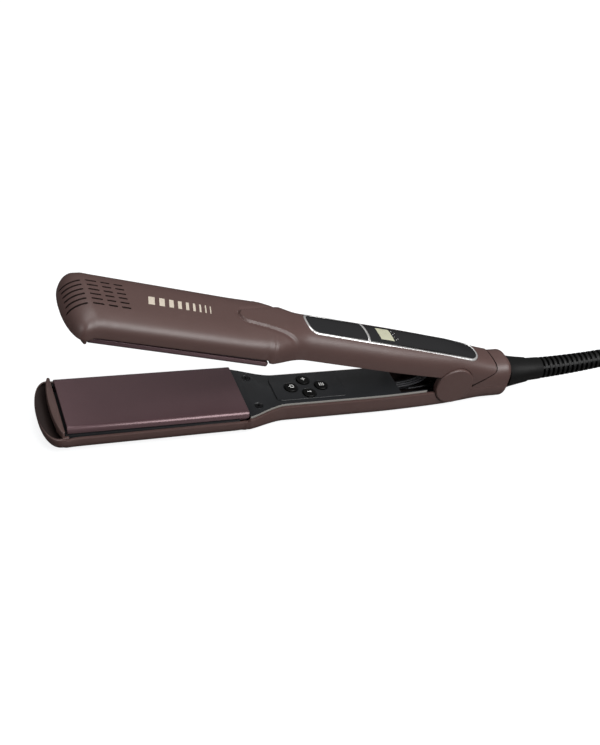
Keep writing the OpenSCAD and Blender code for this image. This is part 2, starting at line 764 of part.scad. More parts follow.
// Swivel cord
module brush_contacts() {
  color(copper) lower_arm() {
    block(27, 33.5, -5, 5, collar_drop + 8, collar_drop + 9.1);
    for (x = ring_x)
      block(x + 0.4, x + 0.4 + brush_w, -1, 1, collar_drop + ring_out + 0.06, collar_drop + 8.1);
  }
}
module swivel_axis() {
  at_hinge() translate([0, 0, -collar_drop]) children();
}
module swivel_rings() {
  color(copper) swivel_axis() for (x = ring_x) difference() {
    rod_x(ring_out, x, x + ring_w);
    rod_x(ring_in, x - 1, x + ring_w + 1);
  }
}
module strain_relief() {
  color(charcoal) swivel_axis() difference() {
    union() {
      rod_x(shaft_r, shaft_start, relief_start);
      rod_x(stop_r, stop_start, end_wall - 0.2);
      rod_x(sleeve_r, stop_start - 0.4, relief_start + 1);
      translate([relief_start, 0, 0]) rotate([0, 90, 0])
        cylinder(r1 = base_r, r2 = neck_r + 0.4, h = base_len);
      rod_x(neck_r, relief_start + base_len - 0.1, rib_start);
      translate([rib_start - 0.1, 0, 0]) rotate([0, 90, 0])
        cylinder(r1 = core_r, r2 = core_r - 0.3, h = relief_end - rib_start);
      for (i = [0:ribs - 1]) let (x = rib_start + 1.2 + rib_pitch * i)
        rod_x(rib_r - rib_taper * i, x, x + rib_pitch - 1.4);
      both_sides() block(rib_start - 0.5, relief_end - 1, core_r - 0.55, core_r + 0.55, -1.1, 1.1);
    }
    rod_x(cord_r + 0.02, 20, relief_end + 1);
  }
}
module power_cord() {
  color(charcoal) swivel_axis() rod_x(cord_r, shaft_start + 0.5, relief_end + cord_stub);
}

// Display panel on the crown of the upper grip
function bezel_end(x, a, grow, n) = [for (t = [a:9:a + 180])
  [x + (bez_len + grow) * spow(cos(t), n), (bez_half + grow) * spow(sin(t), n)]];
function bezel_outline(grow) = concat(bezel_end(bez_a, 90, grow, bez_pow_a),
  bezel_end(bez_b, 270, grow, bez_pow_b));
function bar_arc(r, half) = [for (i = [-6:6]) let (y = half * i / 6) [bar_x + sqrt(r * r - y * y), y]];
function front_outline(grow) = concat(bezel_end(bez_a, 90, grow - trim_w, bez_pow_a),
  bar_arc(bar_in + grow, bez_half - trim_w + grow));
function display_outline(grow) = let (bar = bar_arc(bar_out - grow, bez_half - trim_w + grow))
  concat(bezel_end(bez_b, 270, grow - trim_w, bez_pow_b), [for (i = [len(bar) - 1:-1:0]) bar[i]]);
module crown_slab(proud) {
  xs = [for (i = [0:13]) -111 + 10 * i];
  intersection() {
    loft([for (x = xs) up_ring(x, -proud, -proud, arm_len, rim, 16)]);
    translate([0, 0, roof_d + eps]) linear_extrude(6) children();
  }
}
module through(points) {
  linear_extrude(30) polygon(points);
}
module bezel_trim() {
  color(steel) upper_arm() difference() {
    crown_slab(0.35) polygon(bezel_outline(0));
    through(front_outline(0));
    through(display_outline(0));
  }
}
module front_panel() {
  color("black") upper_arm() crown_slab(0.15) polygon(front_outline(-eps));
}
module display_panel() {
  color("black") upper_arm() difference() {
    crown_slab(0.15) polygon(display_outline(-eps));
    block(lcd_x, lcd_x + lcd_len, -lcd_w / 2, lcd_w / 2, 10, 30);
  }
}
module lcd_window() {
  color([0.80, 0.81, 0.70]) upper_arm() crown_slab(0.1)
    translate([lcd_x + eps, -lcd_w / 2 + eps]) square([lcd_len - 2 * eps, lcd_w - 2 * eps]);
}
module lcd_module() {
  color(ceramic) upper_arm()
    block(lcd_x, lcd_x + lcd_len, -lcd_w / 2, lcd_w / 2, board_top + board_t + eps, roof_d - eps);
}
module main_board() {
  color(board_green) upper_arm() difference() {
    block(-87, -17, -10, 10, board_top, board_top + board_t);
    for (x = up_board_x) translate([x, 0, 0]) cylinder(r = board_hole_r, h = 20);
  }
}
module main_board_screws() {
  color(steel) upper_arm() for (x = up_board_x) translate([x, 0, 0])
    screw(board_top - 1.3, 2, 1.25, 1, board_top + 4.5);
}

lower_housing();
collar_cover();
lower_inner_cover();
lower_nose_strip();
lower_plate_tray();
lower_float_pads();
lower_cover_screws();
lower_plate();
lower_heater();
lower_heater_clip();
lower_thermal_fuse();
lower_heater_wires();
control_pad();
power_button();
plus_button();
minus_button();
mode_button();
button_membrane();
tact_switches();
control_board();
control_board_screws();
hinge_pin();
hinge_cap_left();
hinge_cap_right();
hinge_bushes();
opening_spring();
hinge_wires();
supply_wires();
brush_contacts();
swivel_rings();
strain_relief();
power_cord();
upper_housing();
upper_inner_cover();
upper_nose_strip();
upper_plate_tray();
upper_float_pads();
upper_cover_screws();
upper_plate();
upper_heater();
upper_heater_clip();
upper_thermal_fuse();
upper_heater_wires();
bezel_trim();
front_panel();
display_panel();
lcd_window();
lcd_module();
main_board();
main_board_screws();
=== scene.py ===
import json
import math

import bmesh
import bpy
from mathutils import Matrix, Vector
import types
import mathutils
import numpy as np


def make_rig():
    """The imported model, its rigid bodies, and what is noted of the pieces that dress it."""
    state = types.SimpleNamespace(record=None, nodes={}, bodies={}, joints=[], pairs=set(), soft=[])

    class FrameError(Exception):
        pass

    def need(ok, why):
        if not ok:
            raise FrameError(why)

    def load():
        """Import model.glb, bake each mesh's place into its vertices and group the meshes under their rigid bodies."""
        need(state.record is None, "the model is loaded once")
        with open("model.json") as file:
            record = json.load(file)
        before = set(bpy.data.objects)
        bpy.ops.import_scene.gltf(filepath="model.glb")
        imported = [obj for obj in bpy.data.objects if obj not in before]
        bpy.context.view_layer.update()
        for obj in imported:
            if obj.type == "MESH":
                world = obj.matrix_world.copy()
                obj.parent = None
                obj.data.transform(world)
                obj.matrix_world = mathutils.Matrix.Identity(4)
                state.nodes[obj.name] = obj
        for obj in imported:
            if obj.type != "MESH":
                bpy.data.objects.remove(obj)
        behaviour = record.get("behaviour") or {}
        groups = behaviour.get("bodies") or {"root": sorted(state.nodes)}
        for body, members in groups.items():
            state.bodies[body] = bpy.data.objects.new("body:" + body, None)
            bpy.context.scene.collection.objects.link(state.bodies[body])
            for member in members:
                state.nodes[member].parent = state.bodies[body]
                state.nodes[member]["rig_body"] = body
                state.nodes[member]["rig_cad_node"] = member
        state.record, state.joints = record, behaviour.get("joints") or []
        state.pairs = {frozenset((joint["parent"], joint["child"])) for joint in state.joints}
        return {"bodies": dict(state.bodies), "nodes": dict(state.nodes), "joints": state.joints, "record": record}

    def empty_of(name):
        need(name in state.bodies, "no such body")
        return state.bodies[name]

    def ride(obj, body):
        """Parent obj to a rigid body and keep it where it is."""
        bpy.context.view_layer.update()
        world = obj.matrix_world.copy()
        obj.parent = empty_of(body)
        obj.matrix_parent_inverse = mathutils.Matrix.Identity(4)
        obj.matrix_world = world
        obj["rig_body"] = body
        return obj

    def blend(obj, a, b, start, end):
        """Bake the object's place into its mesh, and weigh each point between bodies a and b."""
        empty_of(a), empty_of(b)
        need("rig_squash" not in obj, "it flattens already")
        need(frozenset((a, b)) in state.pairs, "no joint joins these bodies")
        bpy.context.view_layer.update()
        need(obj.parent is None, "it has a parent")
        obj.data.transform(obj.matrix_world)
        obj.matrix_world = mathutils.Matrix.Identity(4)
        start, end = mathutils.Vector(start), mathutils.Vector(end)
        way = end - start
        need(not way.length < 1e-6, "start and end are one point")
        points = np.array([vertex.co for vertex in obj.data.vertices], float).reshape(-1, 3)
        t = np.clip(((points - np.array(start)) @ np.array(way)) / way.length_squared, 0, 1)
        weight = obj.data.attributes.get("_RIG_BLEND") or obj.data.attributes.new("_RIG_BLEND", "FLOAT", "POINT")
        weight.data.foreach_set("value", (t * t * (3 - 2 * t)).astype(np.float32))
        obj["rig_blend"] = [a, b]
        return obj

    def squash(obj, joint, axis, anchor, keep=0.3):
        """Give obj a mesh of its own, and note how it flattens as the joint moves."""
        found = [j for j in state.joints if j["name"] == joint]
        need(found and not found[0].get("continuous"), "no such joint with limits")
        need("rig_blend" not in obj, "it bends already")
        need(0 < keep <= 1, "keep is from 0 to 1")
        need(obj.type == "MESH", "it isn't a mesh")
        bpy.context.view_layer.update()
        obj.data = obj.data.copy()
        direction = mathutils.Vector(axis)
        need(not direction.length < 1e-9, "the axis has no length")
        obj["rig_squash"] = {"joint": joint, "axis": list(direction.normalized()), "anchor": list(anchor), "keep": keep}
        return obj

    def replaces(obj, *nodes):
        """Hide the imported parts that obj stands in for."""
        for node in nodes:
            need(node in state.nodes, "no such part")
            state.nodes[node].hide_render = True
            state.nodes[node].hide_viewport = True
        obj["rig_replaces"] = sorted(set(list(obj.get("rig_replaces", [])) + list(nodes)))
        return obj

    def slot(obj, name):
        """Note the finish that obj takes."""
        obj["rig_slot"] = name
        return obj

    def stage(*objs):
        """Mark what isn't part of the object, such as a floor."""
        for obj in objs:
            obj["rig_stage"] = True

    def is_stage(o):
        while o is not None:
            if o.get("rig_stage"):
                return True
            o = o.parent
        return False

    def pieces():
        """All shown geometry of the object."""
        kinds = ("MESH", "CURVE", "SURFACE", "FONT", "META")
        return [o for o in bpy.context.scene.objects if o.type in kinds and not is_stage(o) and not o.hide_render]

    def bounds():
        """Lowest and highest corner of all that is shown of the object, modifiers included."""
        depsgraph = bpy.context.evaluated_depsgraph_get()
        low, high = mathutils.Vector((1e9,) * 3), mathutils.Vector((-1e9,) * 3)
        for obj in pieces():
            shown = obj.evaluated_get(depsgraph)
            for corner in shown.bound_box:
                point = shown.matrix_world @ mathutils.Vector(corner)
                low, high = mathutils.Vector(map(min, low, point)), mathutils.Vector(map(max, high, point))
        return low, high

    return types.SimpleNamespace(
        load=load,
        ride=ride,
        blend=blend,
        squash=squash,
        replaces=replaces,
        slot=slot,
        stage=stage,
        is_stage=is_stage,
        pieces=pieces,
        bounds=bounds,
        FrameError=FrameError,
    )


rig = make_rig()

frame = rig.load()
CAD_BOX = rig.bounds()

# ---- the frame
# Shapes are drawn in millimetres from the hinge axis: x towards the cord, y across, and a height or a depth.
MM = 0.001
JOINTS = {j["name"]: j for j in frame["joints"]}
HINGE = Vector(JOINTS["arm_hinge"]["pos_m"])
OPEN = -math.radians(JOINTS["arm_hinge"]["range_deg"][0])


def at_hinge(x, y, z):
    return HINGE + Vector((x, y, z)) * MM


def on_lower(x, y, depth):
    """A point of the lower arm, by its depth under the parting plane."""
    return at_hinge(x, y, -depth)


def on_upper(x, y, depth):
    """A point of the upper arm, by its depth over the parting plane."""
    c, s = math.cos(OPEN), math.sin(OPEN)
    return at_hinge(x * c + depth * s, y, depth * c - x * s)


# ---- driving sizes, in millimetres
ARM_LEN = 240
BODY_W, NECK_W, GRIP_W, TAIL_W = 50, 48, 29, 23.4
WAIST = 1.9                      # How much narrower each side is beside the plates
LOWER_DEPTH, UPPER_DEPTH, DISPLAY_DEPTH = 16.4, 17.4, 19.4
RIM, RIM_EXTRA = 4.1, 1.5        # Depth of the housing edge, and how much deeper it lies beside the plates
NOSE_ROUND, NOSE_POWER, HOOD_LEN, NOSE_DROP = 10, 2.2, 16, 2.4
UPPER_ROUND, UPPER_HOOD = 8, 11
ROUND_SHARE, HOOD_SHARE = 0.86, 0.68     # Part of its curve that the upper nose runs, up to a crease
NECK_A, NECK_B = -135.8, -103.8  # Where the head narrows to the grip
TAPER_A, TAPER_B = -52, 25       # Where the grip narrows to the tail
COLLAR_R, COLLAR_DROP, COLLAR_END, END_R = 13, 2.9, 40.2, 4.2
END_WALL = COLLAR_END - END_R * (1 - math.sin(math.radians(22.5)))
SEAM_R, SEAM_GAP, STOP_SLOPE, STOP_DEPTH = 29.9, 0.5, math.radians(29), 8.4
CAP_R, CAP_GAP, CAP_IN, CAP_OUT = 12, 0.35, 10, 13.9
EAR_OUT = 9.8
PLATE_W, PLATE_A, PLATE_B, PLATE_FACE, PLATE_ROUND = 41.6, -228, -129.3, 0.05, 2.4
COVER_TOP, COVER_T, COVER_A, COVER_END, RAIL_END, RAIL_W = 3, 2, -128.3, -33, -16, 1.1
SCREW_X, SCREW_Y = -121, 12
PAD_A, PAD_B, PAD_HALF, PAD_T, PAD_ROUND = -109, -66.5, 10.2, 0.6, 3
BUTTON_MID, BUTTON_DX, BUTTON_DY, BUTTON_R = -88.8, 9.2, 5.7, 3.6
BEZ_HALF, BEZ_A, BEZ_B, BEZ_LEN = 9, -97.5, 4.6, 8
BEZ_POW_A, BEZ_POW_B = 2 / 3, 0.87
TRIM_W, BAR_X, BAR_IN, BAR_OUT = 1.3, -106, 39, 40.6
LCD_X, LCD_LEN, LCD_W = -58.1, 9, 10.4
RECESS_D = 16.6                  # Depth of the recess that the panels lie in
WALL = 1.5
UPPER_ROOF = 2.9                 # Thickness of the upper housing over the plates
HOLE_R = 6.5                     # Hole in the collar that the cord turns in


def clamp(t):
    return max(0.0, min(1.0, t))


def ease(a, b, x):
    t = clamp((x - a) / (b - a))
    return t * t * (3 - 2 * t)


def spow(v, e):
    return math.copysign(abs(v) ** e, v)


def bulge(s):
    """Quarter of a rounded outline: 0 at the tip, 1 from s = 1 on."""
    return (1 - (1 - clamp(s)) ** NOSE_POWER) ** (1 / NOSE_POWER)


def hood(s, share):
    """As bulge, but cut off at a share of its length, so that it meets the crown with a soft crease."""
    return bulge(clamp(s) * share) / bulge(share)


# ---- body outline
def mid_w(x):
    """Half width of the body, without the rounding of the nose."""
    along = clamp((x + ARM_LEN - 4) / (ARM_LEN - 4 + NECK_A))
    return (BODY_W / 2 + (NECK_W - BODY_W) / 2 * along
            - WAIST * slim(x) * (1 - ease(-133, -126.5, x))
            + (GRIP_W - NECK_W) / 2 * ease(NECK_A, NECK_B, x)
            + (TAIL_W - GRIP_W) / 2 * ease(TAPER_A, TAPER_B, x))


def slim(x):
    """Fades the waist in behind the nose."""
    return ease(-237, -222, x)


def extra(x):
    """How much deeper the edge lies beside the plates."""
    return RIM_EXTRA * ease(-230, -227.5, x) * (1 - ease(-130, -128.6, x))


def rim_at(x):
    return RIM + extra(x) + NOSE_DROP * (1 - clamp((x + ARM_LEN) / HOOD_LEN)) ** 2


def end_round(x):
    s = max(0.0, x - COLLAR_END + END_R)
    return END_R - math.sqrt(max(0.0, END_R * END_R - s * s))


def low_square(x):
    """Squareness of the lower section: fuller at the grip, rounder at the collar."""
    wide = 2.67 + 0.46 * slim(x)
    return wide + (5.07 - wide) * ease(-133, NECK_B, x) - 2.1 * ease(-6, TAPER_B, x)


def lower_section(x):
    """Half width, centre depth, height, squareness and edge depth of the lower housing at x."""
    e = end_round(x)
    centre = RIM + (COLLAR_DROP - RIM) * ease(-14, 8, x)
    crown = LOWER_DEPTH + 0.1 + (COLLAR_R + COLLAR_DROP - LOWER_DEPTH - 0.1) * ease(-20, 34, x)
    drop = rim_at(x) - RIM
    half = mid_w(x) * bulge((x + ARM_LEN) / NOSE_ROUND) - e
    height = (crown - centre - extra(x)) * bulge((x + ARM_LEN) / HOOD_LEN) - e
    return half, centre + drop, max(0.4, height), low_square(x), RIM + drop


def up_crown(x):
    return (UPPER_DEPTH + (DISPLAY_DEPTH - UPPER_DEPTH) * ease(-150, -100, x)
            - 2.3 * ease(-10, TAPER_B, x))


def upper_section(x):
    """The same for the upper housing."""
    centre = RIM + 1.4 * ease(0, TAPER_B, x)
    drop = extra(x)
    half = mid_w(x) * hood((x + ARM_LEN) / UPPER_ROUND, ROUND_SHARE)
    height = (up_crown(x) - centre - extra(x)) * hood((x + ARM_LEN) / UPPER_HOOD, HOOD_SHARE)
    wide = 2.96 + 0.54 * slim(x)
    square = wide + (3.16 - wide) * ease(NECK_A, NECK_B, x)
    return half, centre + drop, max(0.4, height), square, RIM - 2.4 * ease(-12, 8, x) + drop


def crown_at(x, y):
    """Depth of the upper housing's crown over a point of the parting plane."""
    half, centre, height, n, _ = upper_section(x)
    return centre + height * max(0.0, 1 - min(1.0, abs(y) / half) ** n) ** (1 / n)


def arch(half, centre, height, n, start, steps):
    """Points (y, depth) of a rounded arch, from depth start on one side to the same depth on the other."""
    share = min(1.0, abs(start - centre) / height) ** (n / 2)
    a0 = math.copysign(math.asin(share), start - centre)
    out = []
    fine = 3 * steps
    for k in range(fine + 1):
        a = a0 + (math.pi - 2 * a0) * k / fine
        out.append((half * spow(math.cos(a), 2 / n), centre + height * spow(math.sin(a), 2 / n)))
    return even(out, steps)


def even(points, steps):
    """The same line with its points spread evenly."""
    run = [0.0]
    for a, b in zip(points, points[1:]):
        run.append(run[-1] + math.dist(a, b))
    out, i = [], 0
    for k in range(steps + 1):
        want = run[-1] * k / steps
        while i < len(points) - 2 and run[i + 1] < want:
            i += 1
        t = clamp((want - run[i]) / max(1e-9, run[i + 1] - run[i]))
        out.append(tuple(a + (b - a) * t for a, b in zip(points[i], points[i + 1])))
    return out


# ---- materials
def shade(name):
    m = bpy.data.materials.new(name)
    m.use_nodes = True
    tree = m.node_tree
    return m, tree.nodes, tree.links, tree.nodes["Principled BSDF"]


def place(nodes, links, scale=(1, 1, 1)):
    """Object coordinates in millimetres, times scale."""
    where = nodes.new("ShaderNodeTexCoord")
    mapping = nodes.new("ShaderNodeMapping")
    mapping.inputs["Scale"].default_value = [1000 * s for s in scale]
    links.new(where.outputs["Object"], mapping.inputs["Vector"])
    return mapping.outputs["Vector"]


def noise(nodes, links, vector, size, detail=3.0):
    """Noise whose features are about size millimetres."""
    n = nodes.new("ShaderNodeTexNoise")
    n.inputs["Scale"].default_value = 1 / size
    n.inputs["Detail"].default_value = detail
    links.new(vector, n.inputs["Vector"])
    return n.outputs["Fac"]


def between(nodes, links, factor, low, high):
    m = nodes.new("ShaderNodeMapRange")
    m.inputs["From Min"].default_value = 0.3
    m.inputs["From Max"].default_value = 0.7
    m.inputs["To Min"].default_value = low
    m.inputs["To Max"].default_value = high
    links.new(factor, m.inputs["Value"])
    return m.outputs["Result"]


def tint(nodes, links, factor, a, b):
    m = nodes.new("ShaderNodeMix")
    m.data_type = "RGBA"
    m.inputs["A"].default_value = (*a, 1)
    m.inputs["B"].default_value = (*b, 1)
    links.new(factor, m.inputs["Factor"])
    return m.outputs["Result"]


def moulded(name, colour, rough, grain=0.35, height=0.004, vary=0.12, metal=0.0, coat=0.0, spec=0.5,
            stretch=(1, 1, 1), coat_rough=0.2, uneven=0.07):
    """Moulded or coated surface: mottled colour, uneven gloss and a fine grain of the given size."""
    m, nodes, links, bsdf = shade(name)
    vector = place(nodes, links)
    wide = noise(nodes, links, vector, 9.0, 2.0)
    dark = tuple(c * (1 - vary) for c in colour)
    light = tuple(min(1.0, c * (1 + vary)) for c in colour)
    links.new(tint(nodes, links, wide, dark, light), bsdf.inputs["Base Color"])
    patches = noise(nodes, links, vector, 4.0)
    gloss = between(nodes, links, patches, rough * (1 - uneven), rough * (1 + uneven))
    links.new(gloss, bsdf.inputs["Roughness"])
    fine = noise(nodes, links, place(nodes, links, stretch), grain, 2.0)
    bump = nodes.new("ShaderNodeBump")
    bump.inputs["Strength"].default_value = 1.0
    bump.inputs["Distance"].default_value = height * MM
    links.new(fine, bump.inputs["Height"])
    links.new(bump.outputs["Normal"], bsdf.inputs["Normal"])
    bsdf.inputs["Metallic"].default_value = metal
    bsdf.inputs["Coat Weight"].default_value = coat
    bsdf.inputs["Coat Roughness"].default_value = coat_rough
    bsdf.inputs["Specular IOR Level"].default_value = spec
    return m


def bricked(name, scale, mortar, colours):
    """Material with a fine rectangular grid; returns it with its grid and its shader."""
    m, nodes, links, bsdf = shade(name)
    brick = nodes.new("ShaderNodeTexBrick")
    brick.inputs["Scale"].default_value = scale
    brick.inputs["Mortar Size"].default_value = mortar
    for key, colour in zip(("Color1", "Color2", "Mortar"), colours):
        brick.inputs[key].default_value = (*colour, 1)
    links.new(place(nodes, links), brick.inputs["Vector"])
    links.new(brick.outputs["Color"], bsdf.inputs["Base Color"])
    bsdf.inputs["Roughness"].default_value = 0.3
    return m, brick, bsdf


def board_green():
    """Solder mask with faint copper tracks."""
    colours = ((0.01, 0.09, 0.035), (0.012, 0.11, 0.045), (0.03, 0.2, 0.08))
    return bricked("circuit_board", 0.3, 0.03, colours)[0]


def lcd_glass():
    """Liquid-crystal window: beige-green with the faint grid of its segments, and a faint painted glow in the grid
    colour.
    """
    colours = ((0.50, 0.50, 0.37), (0.45, 0.45, 0.33), (0.38, 0.38, 0.28))
    m, grid, bsdf = bricked("display", 0.9, 0.06, colours)
    grid.offset = 0
    # The grid colour also glows faintly: painted light that brightens the window.
    m.node_tree.links.new(grid.outputs["Color"], bsdf.inputs["Emission Color"])
    bsdf.inputs["Emission Strength"].default_value = 0.12
    return m


PLUM = moulded("housing", (0.076, 0.041, 0.036), 0.45, grain=0.3, height=0.003, vary=0.05, spec=0.62)
# Housing plum made darker: painted shade for the hollow inside of the shells and for the walls of slots, pockets and
# seams cut into them.
INSIDE_PAINTED_SHADE = moulded("housing_inside", (0.02, 0.012, 0.011), 0.6, vary=0.1, spec=0.25)
PLATE = moulded("plate", (0.125, 0.072, 0.08), 0.28, grain=0.8, height=0.0001, vary=0.03, metal=0.35,
               uneven=0.01)
CHARCOAL = moulded("black_plastic", (0.017, 0.018, 0.02), 0.42, grain=0.25, height=0.005, vary=0.1)
# Light grey for the sides of the black covers: a painted highlight where their edges catch the light.
EDGE_HIGHLIGHT_GREY = moulded("cover_edge", (0.28, 0.27, 0.25), 0.38, vary=0.06)
RUBBER = moulded("cord_rubber", (0.004, 0.004, 0.004), 0.46, grain=0.4, height=0.006, vary=0.2, spec=0.2)
CHROME = moulded("silver_trim", (0.93, 0.92, 0.91), 0.3, grain=0.6, height=0.0006, vary=0.03, metal=0.85)
GLOSS = moulded("gloss_black", (0.005, 0.005, 0.006), 0.1, grain=3.0, height=0.002, vary=0.2, coat=0.6,
                coat_rough=0.04)
DISPLAY = lcd_glass()
CERAMIC = moulded("ceramic", (0.78, 0.76, 0.7), 0.6, grain=0.2, height=0.004, vary=0.05)
STEEL = moulded("steel", (0.36, 0.36, 0.37), 0.4, grain=0.12, height=0.003, metal=1.0, stretch=(0.1, 1, 1))
BLACK_STEEL = moulded("black_steel", (0.02, 0.02, 0.022), 0.32, metal=0.7, vary=0.15)
BOARD = board_green()
BRASS = moulded("brass", (0.62, 0.42, 0.16), 0.3, metal=1.0, vary=0.08)
SILICONE = moulded("silicone", (0.42, 0.07, 0.05), 0.6, vary=0.08)
SLEEVE = moulded("wire_sleeve", (0.02, 0.02, 0.024), 0.5, vary=0.2)
PRINT = moulded("print_cream", (0.52, 0.46, 0.38), 0.55, grain=0.2, height=0.002, vary=0.05)
WHITE_PRINT = moulded("print_white", (0.8, 0.8, 0.78), 0.5, grain=0.2, height=0.002, vary=0.04)
COPPER = moulded("copper_strand", (0.66, 0.3, 0.16), 0.35, metal=1.0, vary=0.1)

SLOTS = {
    "housing": PLUM, "plate": PLATE, "black_plastic": CHARCOAL, "cord_rubber": RUBBER,
    "silver_trim": CHROME, "gloss_black": GLOSS, "display": DISPLAY, "ceramic": CERAMIC,
    "steel": STEEL, "black_steel": BLACK_STEEL, "circuit_board": BOARD, "brass": BRASS,
    "silicone": SILICONE, "wire_sleeve": SLEEVE,
}
SLOT_OF = {s["node"]: s["material_slot"] for s in frame["record"]["subparts"]}
BODY_OF = {n: b for b, nodes in frame["record"]["behaviour"]["bodies"].items() for n in nodes}


# ---- mesh tools
def add_object(name, data):
    obj = bpy.data.objects.new(name, data)
    bpy.context.scene.collection.objects.link(obj)
    return obj


def new_object(name, points, faces, materials=()):
    mesh = bpy.data.meshes.new(name)
    mesh.from_pydata([tuple(p) for p in points], [], faces)
    mesh.validate()
    for m in materials:
        mesh.materials.append(m)
    return add_object(name, mesh)


def face_outwards(obj):
    bm = bmesh.new()
    bm.from_mesh(obj.data)
    bmesh.ops.remove_doubles(bm, verts=bm.verts, dist=1e-7)
    bmesh.ops.recalc_face_normals(bm, faces=bm.faces)
    if bm.calc_volume(signed=True) < 0:
        bmesh.ops.reverse_faces(bm, faces=bm.faces)
    bm.to_mesh(obj.data)
    bm.free()


def smooth(obj, angle=32):
    obj.data.shade_smooth()
    obj.data.set_sharp_from_angle(angle=math.radians(angle))


def bake(obj):
    """Applies every modifier of obj."""
    bpy.context.view_layer.update()
    done = obj.evaluated_get(bpy.context.evaluated_depsgraph_get())
    mesh = bpy.data.meshes.new_from_object(done)
    obj.modifiers.clear()
    obj.data = mesh


def bevel(obj, width, segments=3, angle=35):
    b = obj.modifiers.new("bevel", "BEVEL")
    b.width = width * MM
    b.segments = segments
    b.limit_method = "ANGLE"
    b.angle_limit = math.radians(angle)
    b.harden_normals = False
    bake(obj)


def carve(obj, cutter, operation="DIFFERENCE"):
    cut = obj.modifiers.new("cut", "BOOLEAN")
    cut.operation = operation
    cut.solver = "EXACT"
    if cutter.data.materials:
        cut.material_mode = "TRANSFER"
    cut.object = cutter
    bake(obj)
    bpy.data.objects.remove(cutter)


def join(name, objs):
    """One object from several, keeping their materials."""
    bm = bmesh.new()
    materials = []
    for o in objs:
        start = len(bm.faces)
        bm.from_mesh(o.data)
        bm.faces.ensure_lookup_table()
        index = []
        for m in o.data.materials:
            if m not in materials:
                materials.append(m)
            index.append(materials.index(m))
        for f in bm.faces[start:]:
            f.material_index = index[min(f.material_index, len(index) - 1)] if index else 0
    mesh = bpy.data.meshes.new(name)
    bm.to_mesh(mesh)
    bm.free()
    for m in materials:
        mesh.materials.append(m)
    for o in objs:
        bpy.data.objects.remove(o)
    return add_object(name, mesh)


def settle(obj, node, angle=32, body=None):
    """Smooths a finished piece and hands it to the frame in place of its CAD node."""
    smooth(obj, angle)
    if node:
        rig.replaces(obj, node)
        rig.slot(obj, SLOT_OF[node])
    if body != "blend":
        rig.ride(obj, body or BODY_OF[node])
    return obj


def tube_faces(count, size):
    faces = []
    for i in range(count - 1):
        for k in range(size):
            a, b = i * size + k, i * size + (k + 1) % size
            faces.append((a, b, b + size, a + size))
    return faces


def loft(name, rings, materials):
    """Closed solid through rings with the same number of points."""
    size = len(rings[0])
    faces = tube_faces(len(rings), size)
    faces.append(tuple(range(size - 1, -1, -1)))
    faces.append(tuple(range((len(rings) - 1) * size, len(rings) * size)))
    obj = new_object(name, [p for r in rings for p in r], faces, materials)
    face_outwards(obj)
    return obj


def prism(name, outline, low, high, put, materials=()):
    """A flat outline of (a, b) pairs between two levels; put(a, b, level) places a point."""
    rings = [[put(a, b, level) for a, b in outline] for level in (low, high)]
    return loft(name, rings, materials)


def hollow(name, stations, profile, put, materials):
    """Shell from outer and inner arches of equal length at each station; profile(x) returns both."""
    points, size = [], 0
    for x in stations:
        outer, inner = profile(x)
        size = len(outer)
        points += [put(x, y, d) for y, d in outer] + [put(x, y, d) for y, d in reversed(inner)]
    ring = 2 * size
    faces = tube_faces(len(stations), ring)
    inner_from = len(faces)
    last = (len(stations) - 1) * ring
    for base in (0, last):
        far = base + ring - 1
        faces += [(base + k, base + k + 1, far - 1 - k, far - k) for k in range(size - 1)]
    obj = new_object(name, points, faces, materials)
    # Inner faces take the second material, here a darker copy of the outer one: painted shade inside the shell.
    for i, polygon in enumerate(obj.data.polygons):
        k = i % ring
        polygon.material_index = 1 if i < inner_from and size <= k < ring - 1 else 0
    face_outwards(obj)
    return obj


def rod(name, radius, a, b, sides=64, materials=()):
    """Round rod between two points in the row frame."""
    axis = (b - a).normalized()
    side = axis.orthogonal().normalized()
    other = axis.cross(side)
    rings = []
    for end in (a, b):
        rings.append([end + radius * MM * (math.cos(t) * side + math.sin(t) * other)
                      for t in (2 * math.pi * k / sides for k in range(sides))])
    return loft(name, rings, materials)


def tube(name, path, radius, sides, materials):
    """Round tube along a list of points; radius may be a number or a list."""
    rings = []
    side = None
    for i, p in enumerate(path):
        ahead = (path[min(i + 1, len(path) - 1)] - path[max(i - 1, 0)]).normalized()
        side = ahead.orthogonal() if side is None else side - side.dot(ahead) * ahead
        side.normalize()
        other = ahead.cross(side)
        r = (radius[i] if isinstance(radius, list) else radius) * MM
        rings.append([p + r * (math.cos(t) * side + math.sin(t) * other)
                      for t in (2 * math.pi * k / sides for k in range(sides))])
    return loft(name, rings, materials)


def curve(points, parts):
    """Smooth curve through points (Catmull-Rom)."""
    out, n = [], len(points) - 1
    for i in range(n):
        a, b = points[max(0, i - 1)], points[i]
        c, d = points[i + 1], points[min(n, i + 2)]
        for k in range(parts):
            u = k / parts
            out.append(0.5 * (2 * b + (c - a) * u + (2 * a - 5 * b + 4 * c - d) * u * u
                              + (3 * b - a - 3 * c + d) * u ** 3))
    return out + [points[-1]]


def lathe(name, profile, put, sides, materials):
    """Solid of revolution: profile is a list of (height, radius), put(height, u, v) places a point."""
    rings = []
    for height, radius in profile:
        rings.append([put(height, radius * math.cos(t), radius * math.sin(t))
                      for t in (2 * math.pi * k / sides for k in range(sides))])
    return loft(name, rings, materials)


def arc_points(cx, cy, rx, ry, a, b, steps, power=1.0):
    out = []
    for k in range(steps + 1):
        t = math.radians(a + (b - a) * k / steps)
        out.append((cx + rx * spow(math.cos(t), power), cy + ry * spow(math.sin(t), power)))
    return out


# ---- housings
LIP = 0.5            # Rounding of the housing edge
SKIN_STEPS = 130


